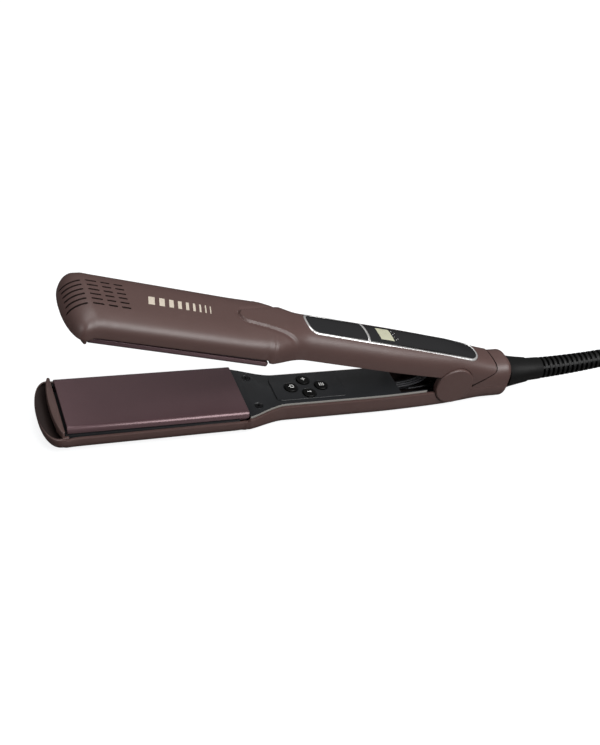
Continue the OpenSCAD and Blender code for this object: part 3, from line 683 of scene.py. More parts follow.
def shell_profile(section, roof, cave_from):
    """Returns profile(x) for hollow(): rounded lips and an arch outside, a wall thickness in inside."""
    def profile(x):
        half, centre, height, n, edge = section(x)
        lip = min(LIP, 0.4 * height)
        outer = arch(half, centre, height, n, edge + lip, SKIN_STEPS)
        w = outer[0][0]
        left = [(w - lip, edge), (w - 0.29 * lip, edge + 0.29 * lip)]
        outer = left + outer + [(-y, d) for y, d in reversed(left)]
        wall = min(WALL, 0.45 * half)
        deep = max(0.03, (height - roof) * ease(cave_from, cave_from + 15, x))
        end = ease(END_WALL, END_WALL + 0.4, x)
        in_half = (half - wall) * (1 - end) + HOLE_R * end
        in_deep = deep * (1 - end) + HOLE_R * end
        inner = arch(in_half, centre, in_deep, n + (2 - n) * end, edge, SKIN_STEPS + 4)
        return outer, inner
    return profile


def stations(end, fine):
    """Lengthwise stations, close together at the nose and between the two values of fine."""
    xs = [0.05 + HOOD_LEN * (k / 26) ** 2 - ARM_LEN for k in range(27)]
    while xs[-1] < end:
        step = 0.5 if fine[0] < xs[-1] < fine[1] else 1.6
        xs.append(min(end, xs[-1] + step))
    return xs


def end_stations():
    """Stations round the rolled end of the collar."""
    return [COLLAR_END - END_R + END_R * math.sin(math.radians(a)) for a in range(6, 90, 7)] + [COLLAR_END]


def ridge_half(x):
    """Half width of the tongue-shaped end of the grip where it runs over the plate section."""
    u = x + 145.3
    return 4.6 * (1 - math.exp(-u / 1.2)) + 0.13 * u + 0.0062 * u * u if u > 0 else -1.0


def ridge(x, y, d):
    """Raises the tongue over the crown and sinks the crown beside it."""
    if d < 9 or not -148 < x < -104:
        return d
    u = ridge_half(x) - abs(y)
    if x < -145.3:
        u = -1.2 * (-145.3 - x) - abs(y) * 0.5
    inside = ease(-0.55, 0.55, u)
    fade = 1 - ease(-119, -107, x)
    return d + (0.75 * inside - 0.5 * ease(-4, -0.4, u) * (1 - inside)) * fade


VENTS = ((11.5, 6, 4), (19.5, 5, 3.2), (26.5, 5, 3.2))
NOSE_VENTS = ((0.8, 8.4, 10.5),)


def vent_cutter(put, crown, slots):
    """Ventilation slots of one housing as stadium prisms: distance from the tip, length and depth of each."""
    pitch, width = 3.9, 1.25
    cutters = []
    for row in range(6):
        y = (row - 2.5) * pitch
        for start, long, deep in slots:
            a, b = start - ARM_LEN + width / 2, start + long - ARM_LEN - width / 2
            outline = arc_points(a, y, width / 2, width / 2, 90, 270, 8)
            outline += arc_points(b, y, width / 2, width / 2, -90, 90, 8)
            # The slot walls take the darker inside material: painted shade in the slots.
            cutters.append(prism("slot", outline, crown - deep, crown + 6, put, (INSIDE_PAINTED_SHADE,)))
    return join("vents", cutters)


def pocket_cutter():
    """Round pockets that the hinge caps lie in."""
    cutters = []
    for s in (-1, 1):
        ends = at_hinge(0, s * (EAR_OUT + 0.1), 0), at_hinge(0, s * 30, 0)
        # The pocket walls take the darker inside material: painted shade in the pockets.
        cutters.append(rod("pocket", CAP_R + CAP_GAP, *ends, 96, (INSIDE_PAINTED_SHADE,)))
    return join("pockets", cutters)


def zone_outline(radius, drop):
    """Tail zone in the hinge frame: inside a circle and above the stop seam, with a rounded corner."""
    def seam(x):
        return (x * math.sin(STOP_SLOPE) - STOP_DEPTH - drop) / math.cos(STOP_SLOPE)
    def rim(angle):
        return Vector((radius * math.cos(angle), radius * math.sin(angle)))
    near, before, after = 4, 2.6, 0.11
    corner = STOP_SLOPE - math.asin((STOP_DEPTH + drop) / radius)
    arc_from, arc_to = corner + after, math.acos(near / radius)
    along = Vector((math.cos(STOP_SLOPE), math.sin(STOP_SLOPE)))
    a, b, c = rim(corner) - along * before, rim(corner), rim(arc_from)
    points = [(near, seam(near))]
    for k in range(9):
        t = k / 8
        points.append(tuple(a * (1 - t) ** 2 + b * 2 * t * (1 - t) + c * t * t))
    return points + [tuple(rim(arc_from + (arc_to - arc_from) * k / 28)) for k in range(1, 29)]


def across(x, z, y):
    return at_hinge(x, y, z)


def lower_housing():
    xs = stations(COLLAR_END - END_R, (-140, -100)) + end_stations()
    profile = shell_profile(lower_section, WALL, -ARM_LEN + 1)
    # Its inside takes the darker plum: painted shade in the hollow.
    shell = hollow("lower_housing_shell", xs, profile, on_lower, (PLUM, INSIDE_PAINTED_SHADE))
    for v in shell.data.vertices:
        v.co.z = max(v.co.z, HINGE.z - LOWER_DEPTH * MM)
    carve(shell, vent_cutter(on_lower, LOWER_DEPTH, VENTS))
    carve(shell, pocket_cutter())
    return settle(shell, "lower_housing")


def upper_housing():
    xs = stations(30, (-149, -104))
    profile = shell_profile(upper_section, UPPER_ROOF, -ARM_LEN + 1)

    def ridged(x):
        outer, inner = profile(x)
        return [(y, ridge(x, y, d)) for y, d in outer], inner
    # Its inside takes the darker plum: painted shade in the hollow.
    shell = hollow("upper_housing_shell", xs, ridged, on_upper, (PLUM, INSIDE_PAINTED_SHADE))
    carve(shell, vent_cutter(on_upper, UPPER_DEPTH, NOSE_VENTS + VENTS))
    carve(shell, pocket_cutter())
    keep = zone_outline(SEAM_R - SEAM_GAP, -SEAM_GAP)
    frame_out = [(4, 40), (64, 40), (64, -40), (4, -40)]
    # Faces cut along the seam take the darker inside material: painted shade in the seam gap.
    carve(shell, prism("tail", keep + frame_out, -30, 30, across, (INSIDE_PAINTED_SHADE,)))
    carve(shell, prism("recess", bezel_outline(0.12), RECESS_D, 30, on_upper))
    return settle(shell, "upper_housing")


def collar_cover():
    start, step = 8, 1.2
    xs = [start + step * k for k in range(int((COLLAR_END - END_R - start) / step) + 1)] + end_stations()

    def profile(x):
        e = end_round(x)
        end = ease(END_WALL, END_WALL + 0.4, x)
        half, n = mid_w(x) - e, low_square(x)
        base = -RIM + 0.12
        outer = arch(half, -COLLAR_DROP, COLLAR_R - e, n, base, SKIN_STEPS)
        in_half = (half - WALL) * (1 - end) + HOLE_R * end
        in_high = (COLLAR_R - e - WALL) * (1 - end) + HOLE_R * end
        return outer, arch(in_half, -COLLAR_DROP, in_high, n + (2 - n) * end, base, SKIN_STEPS)
    # Its inside takes the darker plum: painted shade in the hollow.
    shell = hollow("collar_cover_shell", xs, profile, at_hinge, (PLUM, INSIDE_PAINTED_SHADE))
    # Faces cut along the seam and round the cap take the darker inside material: painted shade in the gaps.
    carve(shell, prism("zone", zone_outline(SEAM_R + SEAM_GAP, SEAM_GAP), -30, 30, across, (INSIDE_PAINTED_SHADE,)))
    carve(shell, rod("disc", CAP_R + CAP_GAP, at_hinge(0, -30, 0), at_hinge(0, 30, 0), 96, (INSIDE_PAINTED_SHADE,)))
    return settle(shell, "collar_cover")


def hinge_cap(side, node):
    """Round cap with a softly rolled edge and a very slightly domed face."""
    y0, y1, roll = CAP_IN, CAP_OUT, 0.9
    profile = [(y0, 0.01), (y0, CAP_R - 0.5), (y0 + 0.1, CAP_R - 0.1), (y0 + 0.35, CAP_R)]
    for k in range(9):
        t = math.pi / 2 * k / 8
        profile.append((y1 - roll + roll * math.sin(t), CAP_R - roll + roll * math.cos(t)))
    for r in (9, 6, 3, 0.01):
        profile.append((y1 + 0.18 * (1 - (r / (CAP_R - roll)) ** 2), r))
    cap = lathe(node + "_disc", profile, lambda h, u, v: at_hinge(u, side * h, v), 96, (PLUM,))
    return settle(cap, node, 40)


# ---- plates and nose strips
def heated_plate(node, put):
    """Plate with rounded edges, a skirt on each side and a channel for the heater behind it."""
    half, r, top = PLATE_W / 2, PLATE_ROUND, PLATE_FACE
    skirt, base, back, side = 3.7, 6.35, PLATE_FACE + 1.6, half - 1.9
    inner = side - 1
    outline = [(-side, skirt), (-half, skirt)] + arc_points(-half + r, top + r, r, r, 180, 270, 10)
    outline += arc_points(half - r, top + r, r, r, 270, 360, 10)
    outline += [(half, skirt), (side, skirt), (side, base), (inner, base), (inner, back)]
    outline += [(-inner, back), (-inner, base), (-side, base)]
    plate = prism(node + "_bar", outline, PLATE_A, PLATE_B, lambda y, d, x: put(x, y, d), (PLATE,))
    bevel(plate, 0.28, 3, 50)
    return settle(plate, node, 40)


def nose_strip(node, put):
    """Crescent between plate and nose, with a low foot at each end."""
    chord, wide, fall, half = PLATE_A - 1.5, 4.1, 2.4, 22.7
    outer = []
    for i in range(-40, 41):
        s = abs(i) / 40
        outer.append((chord - wide + fall * s ** 2.2 + 0.5 * clamp((s - 0.88) / 0.12) ** 2, half * i / 40))
    outline = [(chord, -half + 0.5)] + outer + [(chord, half - 0.5)]
    top = prism("strip", outline, 1.0, RIM + 0.6, put, (PLUM,))
    bevel(top, 0.3, 3, 30)
    feet = []
    for s in (-1, 1):
        a, b = s * (half - 1.2), s * (half + 0.5)
        foot = [(chord - 1.2, a), (chord + 2.2, a), (chord + 2.2, b), (chord - 1.2, b)]
        block = prism("foot", foot, RIM, RIM + 2.4, put, (PLUM,))
        bevel(block, 0.35, 3, 30)
        feet.append(block)
    tongue = [(chord - 2.4, -15), (chord - 0.1, -15), (chord - 0.1, 15), (chord - 2.4, 15)]
    root = prism("root", tongue, RIM + 0.5, 7.6, put, (PLUM,))
    return settle(join(node + "_crescent", [top, root] + feet), node, 40)


# ---- grip covers and controls
def cover_half(x):
    return mid_w(x) - WALL - 0.35


def screw_spot(put, side):
    """Places a point (height, u, v) of the cover screw on the given side."""
    return lambda h, u, v: put(SCREW_X + u, side * SCREW_Y + v, h)


def inner_cover(node, put, buttons):
    """Charcoal cover whose side faces are a lighter grey as a painted highlight, countersunk for its screws, and a rail
    on each side to the hinge.
    """
    xs = [COVER_A + (NECK_B + 3 - COVER_A) * i / 40 for i in range(41)]
    side = [(x, cover_half(x)) for x in xs]
    side += [(x, cover_half(x) - 0.05) for x in range(-60, RAIL_END + 1, 4)]
    side += [(x, cover_half(x) - RAIL_W) for x in (RAIL_END, COVER_END)]
    outline = side + [(x, -y) for x, y in reversed(side)]
    cover = prism(node + "_plate", outline, COVER_TOP, COVER_TOP + COVER_T, put, (CHARCOAL, EDGE_HIGHLIGHT_GREY))
    # Side faces take the lighter grey: a painted highlight along the cover's edges.
    for polygon in cover.data.polygons:
        polygon.material_index = 1 if abs(polygon.normal.y) > 0.5 else 0
    bevel(cover, 0.22, 3, 60)
    cutters = []
    for s in (-1, 1):
        profile = [(COVER_TOP - 1, 3.1), (COVER_TOP + 0.02, 2.6), (COVER_TOP + 1.3, 1.3),
                   (COVER_TOP + 3, 1.3)]
        cutters.append(lathe("sink", profile, screw_spot(put, s), 40, ()))
    if buttons:
        for x, y in button_spots():
            cutters.append(rod("bore", BUTTON_R + 0.1, put(x, y, 1), put(x, y, 7), 48))
    carve(cover, join("bores", cutters))
    return settle(cover, node, 35)


def cover_screws(node, put):
    """Black countersunk screws with a cross recess."""
    parts = []
    for s in (-1, 1):
        spot = screw_spot(put, s)
        top = COVER_TOP + 0.12
        profile = [(top, 0.01), (top, 1.9), (top + 0.06, 2.12), (top + 0.16, 2.24), (top + 1.25, 1.12),
                   (top + 7.8, 1.1), (top + 8, 0.01)]
        head = lathe("screw", profile, spot, 40, (BLACK_STEEL,))
        w, long = 0.26, 1.25
        arm = [(w, w), (w, long), (-w, long)]
        quarters = ((1, 0), (0, 1), (-1, 0), (0, -1))
        cross = [(u * c - v * d, u * d + v * c) for c, d in quarters for u, v in arm]
        turn = 0.5 + s
        turned = [(u * math.cos(turn) - v * math.sin(turn), u * math.sin(turn) + v * math.cos(turn))
                  for u, v in cross]
        carve(head, prism("cross", turned, top - 1, top + 0.7, lambda u, v, h: spot(h, u, v)))
        parts.append(head)
    return settle(join(node + "_pair", parts), node, 35)


def button_spots():
    return ((BUTTON_MID - BUTTON_DX, 0), (BUTTON_MID, BUTTON_DY), (BUTTON_MID, -BUTTON_DY),
            (BUTTON_MID + BUTTON_DX, 0))


def rounded_box(x0, x1, half, r):
    a, b, y = x0 + r, x1 - r, half - r
    corners = ((b, y), (a, y), (a, -y), (b, -y))
    return [p for i, (cx, cy) in enumerate(corners)
            for p in arc_points(cx, cy, r, r, 90 * i, 90 * (i + 1), 8)]


def control_pad():
    """Raised pad with a dished ring round each button."""
    outline = rounded_box(PAD_A, PAD_B, PAD_HALF, PAD_ROUND)
    pad = prism("control_pad_plate", outline, COVER_TOP - PAD_T, COVER_TOP - 0.01, on_lower, (CHARCOAL,))
    bevel(pad, 0.3, 3, 60)
    top = COVER_TOP - PAD_T
    profile = [(top - 1, BUTTON_R + 1.5), (top + 0.02, BUTTON_R + 0.75), (top + 0.3, BUTTON_R + 0.3),
               (top + 0.36, BUTTON_R + 0.1), (COVER_TOP + 1, BUTTON_R + 0.1)]
    for x, y in button_spots():
        dish = lathe("dish", profile, lambda h, u, v: on_lower(x + u, y + v, h), 56, ())
        carve(pad, dish)
    return settle(pad, "control_pad", 35)


def stroke(path, width, put):
    """Flat raised line along (x, y) points, placed by put(x, y, lift)."""
    n = len(path)
    points, faces = [], []
    for i, (x, y) in enumerate(path):
        a, b = path[max(0, i - 1)], path[min(n - 1, i + 1)]
        d = Vector((b[0] - a[0], b[1] - a[1])).normalized() * (width / 2)
        for sx, lift in ((1, 0), (1, 1), (-1, 1), (-1, 0)):
            points.append(put(x - sx * d.y, y + sx * d.x, lift))
    for i in range(n - 1):
        a, b = 4 * i, 4 * (i + 1)
        faces += [(a + k, a + (k + 1) % 4, b + (k + 1) % 4, b + k) for k in range(4)]
    faces += [(3, 2, 1, 0), tuple(4 * (n - 1) + k for k in range(4))]
    obj = new_object("stroke", points, faces, (WHITE_PRINT,))
    face_outwards(obj)
    return obj


def button_top(r):
    """Depth of the button's domed face at distance r from its middle."""
    return 1.3 + r * r / 28


def push_button(node, spot, glyph):
    """Domed key with a rolled edge, a flange under the cover and a printed sign."""
    x0, y0 = spot
    roll = 0.55
    edge = button_top(BUTTON_R - roll)
    profile = [(button_top(r), max(r, 0.01)) for r in (0, 0.9, 1.8, 2.5, BUTTON_R - roll)]
    for k in range(1, 7):
        t = math.pi / 2 * k / 6
        profile.append((edge + roll * (1 - math.cos(t)), BUTTON_R - roll + roll * math.sin(t)))
    base = COVER_TOP + COVER_T + 0.05
    profile += [(base, BUTTON_R), (base, 4.25), (base + 0.7, 4.25), (base + 0.7, 0.01)]
    key = lathe("key", profile, lambda h, u, v: on_lower(x0 + u, y0 + v, h), 64, (RUBBER,))

    def put(x, y, lift):
        return on_lower(x0 + x, y0 + y, button_top(math.hypot(x, y)) + 0.03 - 0.07 * lift)
    marks = [stroke(path, width, put) for path, width in glyph]
    return settle(join(node + "_key", [key] + marks), node, 35)


def line(ax, ay, bx, by, parts=6):
    return [(ax + (bx - ax) * i / parts, ay + (by - ay) * i / parts) for i in range(parts + 1)]


def glyphs():
    """Generic signs: power, plus, minus and three bars."""
    ring = [(-x + 0.35, y) for x, y in arc_points(0.35, 0, 1.15, 1.15, 35, 325, 24)]
    power = [([(x + 0.3, y) for x, y in path], 0.5) for path in (ring, line(-1.9, 0, -0.1, 0))]
    dash = (line(-1.3, 0, 1.3, 0), 0.6)
    plus = [dash, (line(0, -1.3, 0, 1.3), 0.6)]
    bars = [(line(x, -1.25, x, 1.25), 0.55) for x in (-1.1, 0, 1.1)]
    return power, plus, [dash], bars


# ---- display panel
def bezel_outline(grow):
    """Outline of the bezel, grown outwards: two rounded ends joined by straight sides."""
    left = arc_points(BEZ_A, 0, BEZ_LEN + grow, BEZ_HALF + grow, 90, 270, 36, BEZ_POW_A)
    right = arc_points(BEZ_B, 0, BEZ_LEN + grow, BEZ_HALF + grow, 270, 450, 36, BEZ_POW_B)
    return left + right


def band(name, outer, inner, lift, closed, materials):
    """Rounded metal band between two outlines, lying on the crown."""
    points, faces = [], []
    half_section = ((0.0, -1.6), (0.0, 0.1), (0.12, 0.3), (0.35, 0.42))
    section = half_section + tuple((1 - share, up) for share, up in reversed(half_section))
    for (ax, ay), (bx, by) in zip(outer, inner):
        for share, up in section:
            x, y = ax + (bx - ax) * share, ay + (by - ay) * share
            points.append(on_upper(x, y, crown_at(x, y) + up * lift if up > 0 else crown_at(x, y) + up))
    size, n = len(section), len(outer)
    for i in range(n if closed else n - 1):
        a, b = i * size, ((i + 1) % n) * size
        faces += [(a + k, a + (k + 1) % size, b + (k + 1) % size, b + k) for k in range(size)]
    if not closed:
        faces += [tuple(range(size)), tuple(range(n * size - 1, (n - 1) * size - 1, -1))]
    obj = new_object(name, points, faces, materials)
    face_outwards(obj)
    return obj


def bar_x_at(radius, y):
    """x of the curved bar between the two panels."""
    return BAR_X + math.sqrt(radius * radius - y * y)


def bezel_trim():
    ring = band("ring", bezel_outline(0), bezel_outline(-TRIM_W), 1.0, True, (CHROME,))
    half = BEZ_HALF - TRIM_W + 0.1
    ys = [half * i / 12 for i in range(-12, 13)]
    left = [(bar_x_at(BAR_IN, y), y) for y in ys]
    right = [(bar_x_at(BAR_OUT, y), y) for y in ys]
    bar = band("bar", left, right, 0.85, False, (CHROME,))
    return settle(join("bezel_trim_band", [ring, bar]), "bezel_trim", 50)


def panel(name, left_of, right_of, half, lift, deep, materials):
    """Sheet on the crown between x = left_of(y) and right_of(y), with a skirt down to deep under it."""
    rows, cols = 30, 44
    points = []
    for j in range(rows + 1):
        y = half * math.sin(math.pi / 2 * (2 * j / rows - 1))
        a, b = left_of(y), right_of(y)
        points += [on_upper(a + (b - a) * i / cols, y, crown_at(a + (b - a) * i / cols, y) + lift)
                   for i in range(cols + 1)]
    top = len(points)
    down = on_upper(0, 0, -deep) - on_upper(0, 0, 0)
    points += [p + down for p in points[:top]]
    faces = []
    for j in range(rows):
        for i in range(cols):
            a = j * (cols + 1) + i
            quad = (a, a + 1, a + cols + 2, a + cols + 1)
            faces += [quad, tuple(top + v for v in reversed(quad))]
    border = list(range(cols)) + [j * (cols + 1) + cols for j in range(rows)]
    border += [rows * (cols + 1) + i for i in range(cols, 0, -1)]
    border += [j * (cols + 1) for j in range(rows, 0, -1)]
    for a, b in zip(border, border[1:] + border[:1]):
        faces.append((a, a + top, b + top, b))
    obj = new_object(name, points, faces, materials)
    face_outwards(obj)
    return obj


def end_x(centre, length, half, power, sign):
    """Returns x(y) along a rounded end of the bezel."""
    def x_of(y):
        s = min(1.0, abs(y) / half)
        return centre + sign * length * (1 - s ** (2 / power)) ** (power / 2)
    return x_of


def panels():
    half = BEZ_HALF - TRIM_W - 0.04
    left = end_x(BEZ_A, BEZ_LEN - TRIM_W, half, BEZ_POW_A, -1)
    right = end_x(BEZ_B, BEZ_LEN - TRIM_W, half, BEZ_POW_B, 1)
    gap, rest = 0.05, (half, 0.14, 1.2, (GLOSS,))
    front = panel("front_panel_glass", left, lambda y: bar_x_at(BAR_IN, y) - gap, *rest)
    settle(front, "front_panel", 40)
    main = panel("display_panel_glass", lambda y: bar_x_at(BAR_OUT, y) + gap, right, *rest)
    icons = []
    spots = ((1.6, 3.9), (1.6, 1.3), (1.6, -1.3), (1.6, -3.9), (3.3, 2.6), (3.3, -2.6))
    for i, (dx, y) in enumerate(spots):
        x = LCD_X + LCD_LEN + dx

        def put(a, b, up):
            return on_upper(x + a, y + b, crown_at(x + a, y + b) + 0.13 + 0.05 * up)
        icons.append(stroke(line(-0.3, 0, 0.3 if i % 2 else 0.05, 0, 2), 0.35, put))
    settle(join("display_panel_face", [main] + icons), "display_panel", 40)
    window = panel("lcd_window_glass", lambda y: LCD_X, lambda y: LCD_X + LCD_LEN, LCD_W / 2,
                   0.2, 0.3, (DISPLAY,))
    settle(window, "lcd_window", 40)


def emblem():
    """Plain printed motif on the crown: slanted bars that thin out towards the grip."""
    bars = []
    x, high, lean = -197.0, 7.0, 1.6
    for i in range(9):
        width = 3.0 * (1 - i / 9) ** 1.5 + 0.45

        def put(a, b, lift, x=x, width=width):
            px = x + a + lean * b / high
            return on_upper(px, b, crown_at(px, b) + 0.01 + 0.05 * lift)
        path = [(width / 2, high * (k / 8 - 0.5)) for k in range(9)]
        bar = stroke(path, width, put)
        bar.data.materials[0] = PRINT
        bars.append(bar)
        x += width + 2.55 - 0.06 * i
    motif = join("printed_motif", bars)
    smooth(motif, 40)
    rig.ride(motif, "upper_arm")


# ---- cord
CORD_FROM, CORD_BEND = 42, 0.00095
RIB_START, RIB_PITCH, RIBS = 65.9, 3.4, 15
CORD_END = COLLAR_END + 0.2 + 78 + 42


def cord_axis(x):
    return at_hinge(x, 0, -COLLAR_DROP + CORD_BEND * max(0.0, x - CORD_FROM) ** 2)


def cord_frame(x):
    ahead = (cord_axis(x + 0.5) - cord_axis(x - 0.5)).normalized()
    up = Vector((0, 1, 0)).cross(ahead).normalized() * -1
    return cord_axis(x), ahead, up


def strain_relief():
    """Collar cone, neck and ribs as one turned sleeve, and two spines along the ribs."""
    start = COLLAR_END + 0.2
    profile = [(26, 4.5), (34.3, 4.5), (34.4, 8.8), (END_WALL - 0.2, 8.8), (END_WALL - 0.15, 6),
               (start - 0.1, 6), (start - 0.08, 9.5), (start + 0.15, 10.1)]
    profile += [(start + 15 * k / 6, 10.1 - 2.5 * (k / 6) ** 0.8) for k in range(1, 7)]
    profile += [(start + 15.05, 7.4), (start + 15.3, 7.15), (start + 16, 7.0), (RIB_START - 0.5, 6.7),
                (RIB_START, 6.5), (RIB_START + 0.1, 4.8)]
    for i in range(RIBS):
        x, r = RIB_START + 1.3 + RIB_PITCH * i, 6.5 - 0.08 * i
        core = 4.6 - 0.02 * i
        profile += [(x, core), (x + 0.06, r - 0.2), (x + 0.25, r), (x + 1.65, r), (x + 1.84, r - 0.2),
                    (x + 1.9, core)]
    end = start + 78
    profile += [(end - 0.6, 4.4), (end - 0.1, 4.2), (end, 3.52)]
    sides, rings = 56, []
    for x, r in profile:
        centre, ahead, up = cord_frame(x)
        rings.append([centre + r * MM * (math.cos(t) * up + math.sin(t) * Vector((0, 1, 0)))
                      for t in (2 * math.pi * k / sides for k in range(sides))])
    parts = [loft("sleeve", rings, (RUBBER,))]
    lean = math.radians(50)
    for s in (-1, 1):
        rings = []
        for k in range(31):
            x = RIB_START - 0.4 + (end - 1 - RIB_START) * k / 30
            centre, ahead, up = cord_frame(x)
            out = s * (math.cos(lean) * up - math.sin(lean) * Vector((0, 1, 0)))
            wide = ahead.cross(out)
            low, high = 4.0, 6.25 - 1.1 * k / 30
            rings.append([centre + MM * (out * low + wide * 1.0), centre + MM * (out * high + wide * 0.75),
                          centre + MM * (out * high - wide * 0.75), centre + MM * (out * low - wide * 1.0)])
        parts.append(loft("spine", rings, (RUBBER,)))
    return settle(join("strain_relief_sleeve", parts), "strain_relief", 30)


def power_cord():
    """Round cord with three bare cores at the cut end."""
    xs = [29 + (CORD_END - 29) * k / 70 for k in range(71)]
    path = [cord_axis(x) for x in xs]
    parts = [tube("jacket", path, 3.48, 40, (RUBBER,))]
    centre, ahead, up = cord_frame(CORD_END)
    for i in range(3):
        t = 2 * math.pi * i / 3
        off = 1.55 * MM * (math.cos(t) * up + math.sin(t) * Vector((0, 1, 0)))
        core = [centre + off - ahead * MM, centre + off + ahead * 1.2 * MM]
        parts.append(tube("core", core, 1.15, 20, (SLEEVE,)))
        strand = [centre + off, centre + off + ahead * 2.0 * MM]
        parts.append(tube("strand", strand, 0.6, 14, (COPPER,)))
    return settle(join("power_cord_jacket", parts), "power_cord", 40)


# ---- parts that bend at the hinge
def opening_spring():
    """Torsion spring round the pin; its legs follow one arm each."""
    half, r, turns, leg, n = 3.2, 5.1, 5.5, 24, 240
    coil = []
    for i in range(n + 1):
        t = math.pi + 2 * math.pi * turns * i / n
        coil.append(Vector((r * math.sin(t), -half + 2 * half * i / n, r * math.cos(t))))
    lean = OPEN - math.radians(8)
    first = coil[0] + leg * Vector((-1, 0, -0.1))
    last = coil[-1] + leg * Vector((-math.cos(lean), 0, math.sin(lean)))
    path = [first.lerp(coil[0], k / 10) for k in range(10)] + coil
    path += [coil[-1].lerp(last, k / 10) for k in range(1, 11)]
    spring = tube("opening_spring_wire", [HINGE + p * MM for p in path], 0.65, 14, (BLACK_STEEL,))
    settle(spring, "opening_spring", 40, "blend")
    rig.slot(spring, "black_steel")
    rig.blend(spring, "lower_arm", "upper_arm", start=at_hinge(0, -half, 0), end=at_hinge(0, half, 0))


def hinge_wires():
    """Sleeved wires that cross the hinge from arm to arm."""
    wires = []
    for y in (-1.7, 0, 1.7):
        points = [Vector(p) for p in ((-56, y, -8), (-24, y, -6), (-13, y, 0), (-16, y, 9), (-28, y, 15))]
        path = [HINGE + p * MM for p in curve(points, 14)]
        wires.append(tube("wire", path, 0.7, 14, (SLEEVE,)))
    bundle = join("hinge_wires_bundle", wires)
    settle(bundle, "hinge_wires", 40, "blend")
    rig.blend(bundle, "lower_arm", "upper_arm", start=at_hinge(0, 0, -4), end=at_hinge(0, 0, 8))


# ---- soft pads
FLOAT_XS, FLOAT_R, FLOAT_TOP, TRAY_FLOOR, FLOAT_TRAVEL = (-212, -144), 3, 3.8, 7.35, 0.8


def float_pads(arm, put):
    """Silicone pads between heater and tray, pressed flat by the floating plate."""
    profile = [(FLOAT_TOP, 0.01), (FLOAT_TOP, FLOAT_R - 0.25), (FLOAT_TOP + 0.25, FLOAT_R),
               (TRAY_FLOOR - 0.25, FLOAT_R), (TRAY_FLOOR, FLOAT_R - 0.25), (TRAY_FLOOR, 0.01)]
    pads = [lathe("pad", profile, lambda h, u, v, x=x: put(x + u, v, h), 40, (SILICONE,)) for x in FLOAT_XS]
    pads = settle(join(arm + "_float_pads_pair", pads), arm + "_float_pads", 40)
    thick = TRAY_FLOOR - FLOAT_TOP
    up = put(0, 0, 1) - put(0, 0, 0)
    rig.squash(pads, arm + "_plate_float", axis=up, anchor=put(0, 0, TRAY_FLOOR),
              keep=(thick - FLOAT_TRAVEL - 0.02) / thick)


def thermal_fuse(arm, put):
    """Small capsule with a lead at each end, clipped behind the heater."""
    profile = [(-192, 0.01), (-192, 0.38), (-186.4, 0.38), (-186.2, 1.0), (-185.8, 1.25), (-174.2, 1.25),
               (-173.8, 1.0), (-173.6, 0.38), (-168, 0.38), (-168, 0.01)]
    y, depth = 8, 5.25
    fuse = lathe(arm + "_thermal_fuse_capsule", profile, lambda h, u, v: put(h, y + u, depth + v),
                 32, (STEEL,))
    settle(fuse, arm + "_thermal_fuse", 40)


# ---- stage
CAMERA_AT = (-338.2, -467.4, 403.1)
CAMERA_AHEAD = Vector((0.3701, 0.7097, -0.5995))
CAMERA_UP = Vector((0.07, 0.6221, 0.7798))
CAMERA_LENS = 56.87


def camera():
    data = bpy.data.cameras.new("camera")
    obj = add_object("camera", data)
    right = CAMERA_AHEAD.cross(CAMERA_UP).normalized()
    up = right.cross(CAMERA_AHEAD).normalized()
    turn = Matrix((right, up, -CAMERA_AHEAD)).transposed().to_4x4()
    obj.matrix_world = Matrix.Translation(at_hinge(*CAMERA_AT)) @ turn
    data.lens = CAMERA_LENS
    data.sensor_width = 36
    data.clip_start, data.clip_end = 0.01, 30
    bpy.context.scene.camera = obj


def softbox(name, place_at, target, size, power):
    data = bpy.data.lights.new(name, "AREA")
    data.shape = "RECTANGLE"
    data.size, data.size_y = size
    data.energy = power
    obj = add_object(name, data)
    obj.location = place_at
    ahead = Vector(target) - Vector(place_at)
    obj.rotation_euler = ahead.to_track_quat("-Z", "Y").to_euler()


def seen(nodes, links, to_camera, to_rest):
    """A value that differs between what the camera sees and what lights the scene."""
    path = nodes.new("ShaderNodeLightPath")
    m = nodes.new("ShaderNodeMapRange")
    m.inputs["To Min"].default_value = to_rest
    m.inputs["To Max"].default_value = to_camera
    links.new(path.outputs["Is Camera Ray"], m.inputs["Value"])
    return m.outputs["Result"]


def floor():
    """Pale, slightly glossy sheet that throws little light back up."""
    m, nodes, links, bsdf = shade("floor")
    vector = place(nodes, links)
    pale = tint(nodes, links, noise(nodes, links, vector, 120.0), (0.24, 0.25, 0.26), (0.27, 0.28, 0.29))
    hold = nodes.new("ShaderNodeMix")
    hold.data_type = "RGBA"
    hold.inputs["A"].default_value = (0.07, 0.065, 0.065, 1)
    links.new(seen(nodes, links, 1.0, 0.0), hold.inputs["Factor"])
    links.new(pale, hold.inputs["B"])
    links.new(hold.outputs["Result"], bsdf.inputs["Base Color"])
    bsdf.inputs["Emission Color"].default_value = (1, 1, 1, 1)
    links.new(seen(nodes, links, 0.84, 0.0), bsdf.inputs["Emission Strength"])
    bsdf.inputs["Roughness"].default_value = 0.22
    bsdf.inputs["Specular IOR Level"].default_value = 0.4
    s, z = 6.0, -0.0004
    sheet = new_object("floor", [(-s, -s, z), (s, -s, z), (s, s, z), (-s, s, z)], [(0, 1, 2, 3)], (m,))
    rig.stage(sheet)


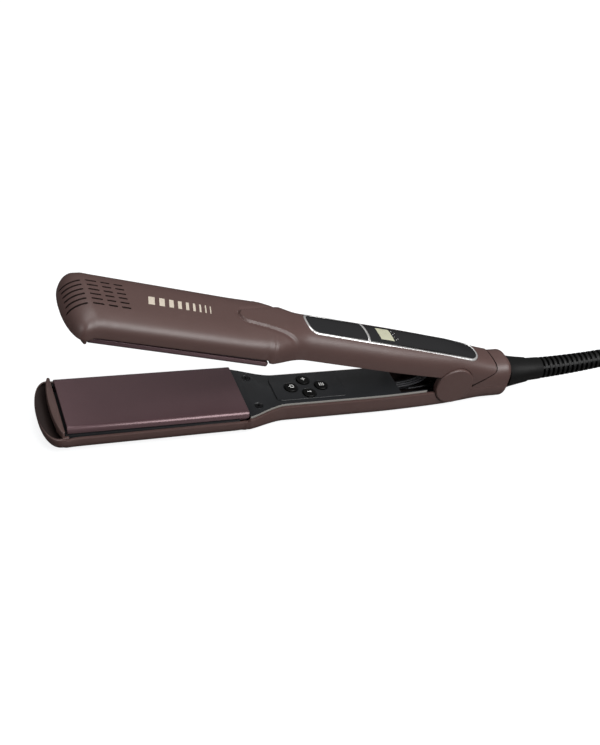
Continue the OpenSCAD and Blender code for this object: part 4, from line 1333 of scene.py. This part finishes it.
def world():
    w = bpy.data.worlds.new("studio")
    w.use_nodes = True
    bpy.context.scene.world = w
    nodes, links = w.node_tree.nodes, w.node_tree.links
    background = nodes["Background"]
    background.inputs["Color"].default_value = (1, 1, 1, 1)
    where = nodes.new("ShaderNodeTexCoord")
    split = nodes.new("ShaderNodeSeparateXYZ")
    height = nodes.new("ShaderNodeMapRange")
    height.inputs["To Min"].default_value = 0.04
    height.inputs["To Max"].default_value = 0.4
    links.new(where.outputs["Generated"], split.inputs["Vector"])
    links.new(split.outputs["Z"], height.inputs["Value"])
    mix = nodes.new("ShaderNodeMix")
    links.new(seen(nodes, links, 1.0, 0.0), mix.inputs["Factor"])
    links.new(height.outputs["Result"], mix.inputs["A"])
    mix.inputs["B"].default_value = 1.0
    links.new(mix.outputs["Result"], background.inputs["Strength"])
    bpy.context.scene.view_settings.view_transform = "Standard"


def studio():
    world()
    floor()
    camera()
    softbox("key", (0.55, -0.76, 0.88), (0.0, 0, 0), (1.0, 0.8), 17)
    softbox("top", (-0.1, 0.25, 1.5), (0, 0, 0), (1.2, 0.8), 10)
    softbox("left", (-1.2, -0.5, 0.6), (-0.1, 0, 0), (0.4, 0.6), 3)


# ---- build
def paint_cad_nodes():
    """Gives every CAD node the material of its slot."""
    for node, obj in frame["nodes"].items():
        obj.data.materials.clear()
        obj.data.materials.append(SLOTS[SLOT_OF[node]])


paint_cad_nodes()
lower_housing()
upper_housing()
collar_cover()
hinge_cap(-1, "hinge_cap_left")
hinge_cap(1, "hinge_cap_right")
for prefix, put in (("lower", on_lower), ("upper", on_upper)):
    heated_plate(prefix + "_plate", put)
    nose_strip(prefix + "_nose_strip", put)
    inner_cover(prefix + "_inner_cover", put, prefix == "lower")
    cover_screws(prefix + "_cover_screws", put)
    float_pads(prefix, put)
    thermal_fuse(prefix, put)
control_pad()
for name, spot, glyph in zip(("power_button", "plus_button", "minus_button", "mode_button"),
                             button_spots(), glyphs()):
    push_button(name, spot, glyph)
bezel_trim()
panels()
emblem()
strain_relief()
power_cord()
opening_spring()
hinge_wires()
studio()

boxes = {"cad": [list(c) for c in CAD_BOX], "visual": [list(c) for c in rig.bounds()]}
with open("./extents.json", "w") as out:
    json.dump(boxes, out)
